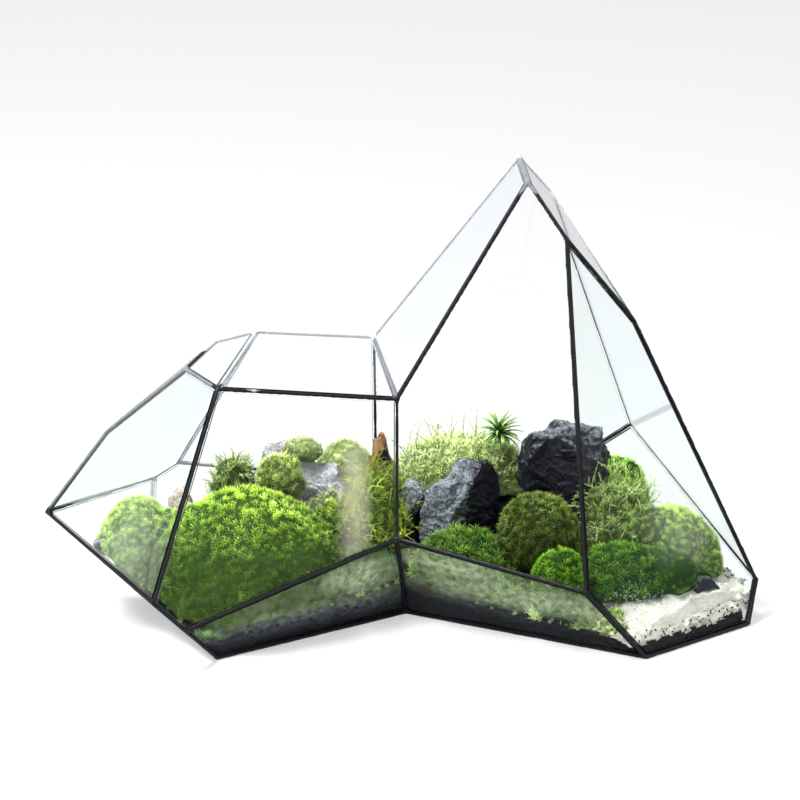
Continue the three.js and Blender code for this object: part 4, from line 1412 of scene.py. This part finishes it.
# %% [markdown]
# ## Moss carpets
# Low moss covers the soil behind the lower panes, where it shows pale through the mist. The carpets right
# and at the waist are painted paler still, as painted light for moss lit from the front. A carpet is a patch
# of tufts rooted on the soil itself: an oval given by its middle and reach in mm, with a ragged edge from
# noise.

# %% Carpets
# For each carpet the bed it grows on, its middle and reach, its look, its slot and its covers.
CARPETS = {
    # The right carpet and the waist carpet are painted pale, as painted light.
    "carpet_right": (bare_soil, (62, -48), (66, 26), "misty", "pale_moss", [
        cover("star", 1.9, 1.7, 0.8, 0.6), cover("sprig", 3.8, 0.85, 0.9, 0.6)]),
    "carpet_corner": (bare_soil, (112, -58), (26, 18), "lawn", "deep_moss", [
        cover("star", 2.3, 1.5, 0.8, 0.1)]),
    "carpet_shore": (bare_sand, (103, -62), (15, 20), "hazed", "pale_moss", [
        cover("star", 1.9, 1.2, 0.5, 0.1)]),
    "carpet_waist": (bare_soil, (-22, -34), (26, 22), "misty", "pale_moss", [
        cover("star", 1.9, 1.6, 0.8, 0.6), cover("sprig", 3.8, 0.85, 0.9, 0.6)]),
    "carpet_left": (bare_soil, (-90, -55), (60, 30), "shade", "deep_moss", [
        cover("star", 2.6, 1.4, 0.8)]),
    "carpet_gap": (bare_soil, (-126, -12), (34, 52), "hazed", "pale_moss", [
        cover("star", 2.5, 1.5, 0.8)]),
    "carpet_far_left": (bare_soil, (-156, -22), (20, 30), "hazed", "pale_moss", [
        cover("star", 2.3, 1.6, 0.6)]),
    "carpet_back_right": (bare_soil, (98, 58), (52, 26), "lawn", "deep_moss", [
        cover("star", 2.6, 1.3, 0.8, 0.2)]),
    "carpet_back_left": (bare_soil, (-64, 44), (44, 22), "shade", "deep_moss", [
        cover("star", 2.6, 1.3, 0.8, 0.3)]),
}
RAGGED = 0.35
RAGGED_SIZE = 12 * MM
LOWEST_ON_SAND = -0.3
LOWEST_ON_SOIL = 0.45


def make_carpet(name, ground, middle, reach, look, slot, layers, seed):
    on_sand = ground is bare_sand
    tree = neighbours_of("sand_drift" if on_sand else "soil_bed")
    lowest = LOWEST_ON_SAND if on_sand else LOWEST_ON_SOIL

    def near(places):
        across = (places[:, :2] / MM - middle) / reach
        return np.hypot(across[:, 0], across[:, 1]) + noise_at(places, RAGGED_SIZE) * RAGGED < 1

    parts = []
    for i, layer in enumerate(layers):
        parts.append(tufts(ground, tree, layer, seed + 100 * i, 0, near, lowest=lowest))
    hand_over(link(name, gather(name, parts)), look)


for number, (name, settings) in enumerate(CARPETS.items(), start=70):
    make_carpet(name, *settings, seed=number)

# %% [markdown]
# ## The seams
# Solder flows: it rounds every corner and never lies quite even. The solid net is remeshed
# and smoothed, which melts its rods into each other, and noise gives it the hand-made swell.
# The back edges carry less solder than the front ones, so they are drawn in a little. Long
# straight seams need few faces, so the mesh is thinned at the end.

# %% Seams
SEAM_VOXEL = 0.85 * MM
SEAM_SHARE = 0.35
SWELL = 7 * MM
SWELL_HEIGHT_MM = 0.14
BACK_START_MM, BACK_DEPTH_MM = 12, 25
BACK_DRAWN_MM = 0.2


def melt_seams():
    piece = remeshed(solid_copy("seam_net", "seam_solder"), SEAM_VOXEL, 3)
    back = ((points_of(piece.data)[:, 1] / MM - BACK_START_MM) / BACK_DEPTH_MM).clip(0, 1)
    swell = lumps(piece.data, SWELL, 3) * SWELL_HEIGHT_MM * MM
    push(piece.data, swell - back * BACK_DRAWN_MM * MM)
    thinned(piece, SEAM_SHARE)
    points = points_of(piece.data)
    points[:, 2] = points[:, 2].clip(0, None)
    move_to(piece.data, points)
    # The painted highlight's strength is stored on the seams.
    store(piece.data, "dust", highlighted(points))
    piece.data.shade_smooth()
    hand_over(piece, "seam", "seam_net")


melt_seams()

# %% [markdown]
# ## Dew
# Damp moss leaves drops of water on the inside of the glass. Water is as clear as the panes
# but bends light its own way, so the drops share the panes' rule for lamps and have no mist.

# %% Dew material
WATER_BENDING = 1.33


def make_dew_material():
    material, tree, shader = new_material(
        "dew", Roughness=0.0, IOR=WATER_BENDING, Transmission_Weight=1.0, Base_Color=(1, 1, 1, 1))
    fill(tree, tree.nodes["Material Output"], {"Surface": let_lamps_through(tree, shader)})
    return material


materials["dew"] = make_dew_material()
print("dew material ready")

# %% [markdown]
# ## Drops on the panes
# Drops hang on the inside of the lower panes and low on both sides. They are flattened beads,
# each a small ball pressed against the glass, scattered in an oval that thins out at its rim.

# %% Dew drops
# For each group its pane, its middle and reach in X and Z, the drops' spacing and their size.
DEW = {
    "dew_right_side": ("glass_right_side", (121, 26), (19, 17), 2.0, 0.95),
    "dew_left_side": ("glass_left_side", (-150, 52), (16, 14), 2.6, 0.8),
    "dew_lower_left": ("glass_left_lower_front", (-55, 13), (75, 9), 3.6, 0.45),
    "dew_lower_right": ("glass_right_lower_front", (60, 14), (75, 12), 3.6, 0.45),
}
ROOM_MIDDLE = {"left": Vector((-80, 5, 60)) * MM, "right": Vector((75, 5, 60)) * MM}
FACE_ON = 0.98
OVAL_RIM = (0.6, 1.1)
DROP_SIZES = (0.3, 1.0)
DROP_RADIUS = 0.7
DROP_HEIGHT = 0.6


def make_dew(name, pane, middle, reach, spacing, size, seed):
    """Drops on the inner face of a pane; all lengths are in mm."""
    places, facing, random = scatter(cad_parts[pane].data, spacing * MM, seed, lowest=-1.0)
    inner = np.array(ROOM_MIDDLE["left" if "_left_" in pane else "right"])
    inward = ((inner - places) * facing).sum(1)
    inside = facing @ facing[np.argmax(inward)] > FACE_ON
    oval = np.hypot(
        (places[:, 0] / MM - middle[0]) / reach[0], (places[:, 2] / MM - middle[1]) / reach[1])
    kept = inside & (oval < random.uniform(*OVAL_RIM, len(places)))
    form = bmesh.new()
    bmesh.ops.create_icosphere(form, subdivisions=1, radius=DROP_RADIUS * size * MM)
    bmesh.ops.scale(form, vec=(1, 1, DROP_HEIGHT), verts=form.verts)
    sizes = random.uniform(*DROP_SIZES, kept.sum()) ** 1.5
    drops = stamped(as_template(form), places[kept], facing[kept], sizes, 0.0, random)
    hand_over(link(name, gather(name, [drops])), "dew")
    print("drops:", kept.sum())


for number, (name, settings) in enumerate(DEW.items(), start=41):
    make_dew(name, *settings, seed=number)

# %% [markdown]
# ## Studio
# The case stands on a plain white floor in an even white room. One large soft lamp from above
# and in front gives the moss its light tops, and the white world fills the rest.

# %% Studio
FLOOR_REACH = 6
FLOOR_DROP = 0.2 * MM
LAMP_PLACE = Vector((-0.5, -0.3, 1.3))
LAMP_AIM = Vector((0, 0, 0.08))
LAMP_SIZE = 0.5
LAMP_POWER = 22
GLOW_SEEN, GLOW_CAST = 0.48, 0.1
WORLD_SEEN, WORLD_CAST = 1.0, 0.46


def make_floor():
    """A white floor that also glows, less in the light it casts and where a pane mirrors it."""
    form = bmesh.new()
    bmesh.ops.create_grid(form, x_segments=1, y_segments=1, size=FLOOR_REACH)
    floor = link("floor", mesh_of(form, "floor"))
    floor.location.z = -FLOOR_DROP
    material, tree, shader = new_material(
        "floor", Base_Color=paint("c0c1c2"), Roughness=0.9, Emission_Color=(1, 1, 1, 1))
    path = add(tree, "LightPath").outputs
    mirrored = reckoned(tree, "SUBTRACT", path["Is Glossy Ray"], path["Is Transmission Ray"])
    lit = reckoned(tree, "MAXIMUM", path["Is Diffuse Ray"], mirrored)
    fill(tree, shader, {"Emission Strength": between(tree, lit, 0.0, 1.0, GLOW_SEEN, GLOW_CAST)})
    floor.data.materials.append(material)


def make_lamp():
    data = bpy.data.lights.new("top_lamp", "AREA")
    data.size = LAMP_SIZE
    data.energy = LAMP_POWER
    lamp = bpy.data.objects.new("top_lamp", data)
    lamp.location = LAMP_PLACE
    lamp.rotation_euler = (LAMP_AIM - LAMP_PLACE).to_track_quat("-Z", "Y").to_euler()
    bpy.context.scene.collection.objects.link(lamp)


def make_world():
    """White as seen, and dimmer as light, so that the lamp can model the shapes."""
    world = bpy.data.worlds.new("studio")
    world.use_nodes = True
    tree = world.node_tree
    diffuse = add(tree, "LightPath").outputs["Is Diffuse Ray"]
    strength = between(tree, diffuse, 0.0, 1.0, WORLD_SEEN, WORLD_CAST)
    fill(tree, tree.nodes["Background"], {"Color": (1, 1, 1, 1), "Strength": strength})
    bpy.context.scene.world = world


make_floor()
make_lamp()
make_world()
bpy.context.scene.view_settings.view_transform = "Standard"
print("studio ready")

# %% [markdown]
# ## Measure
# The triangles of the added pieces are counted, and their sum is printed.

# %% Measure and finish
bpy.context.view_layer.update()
added = [piece for piece in bpy.data.objects if piece.type == "MESH" and piece.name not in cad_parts]
triangles = [len(face.vertices) - 2 for piece in added for face in piece.data.polygons]
print("triangles added in all:", sum(triangles))
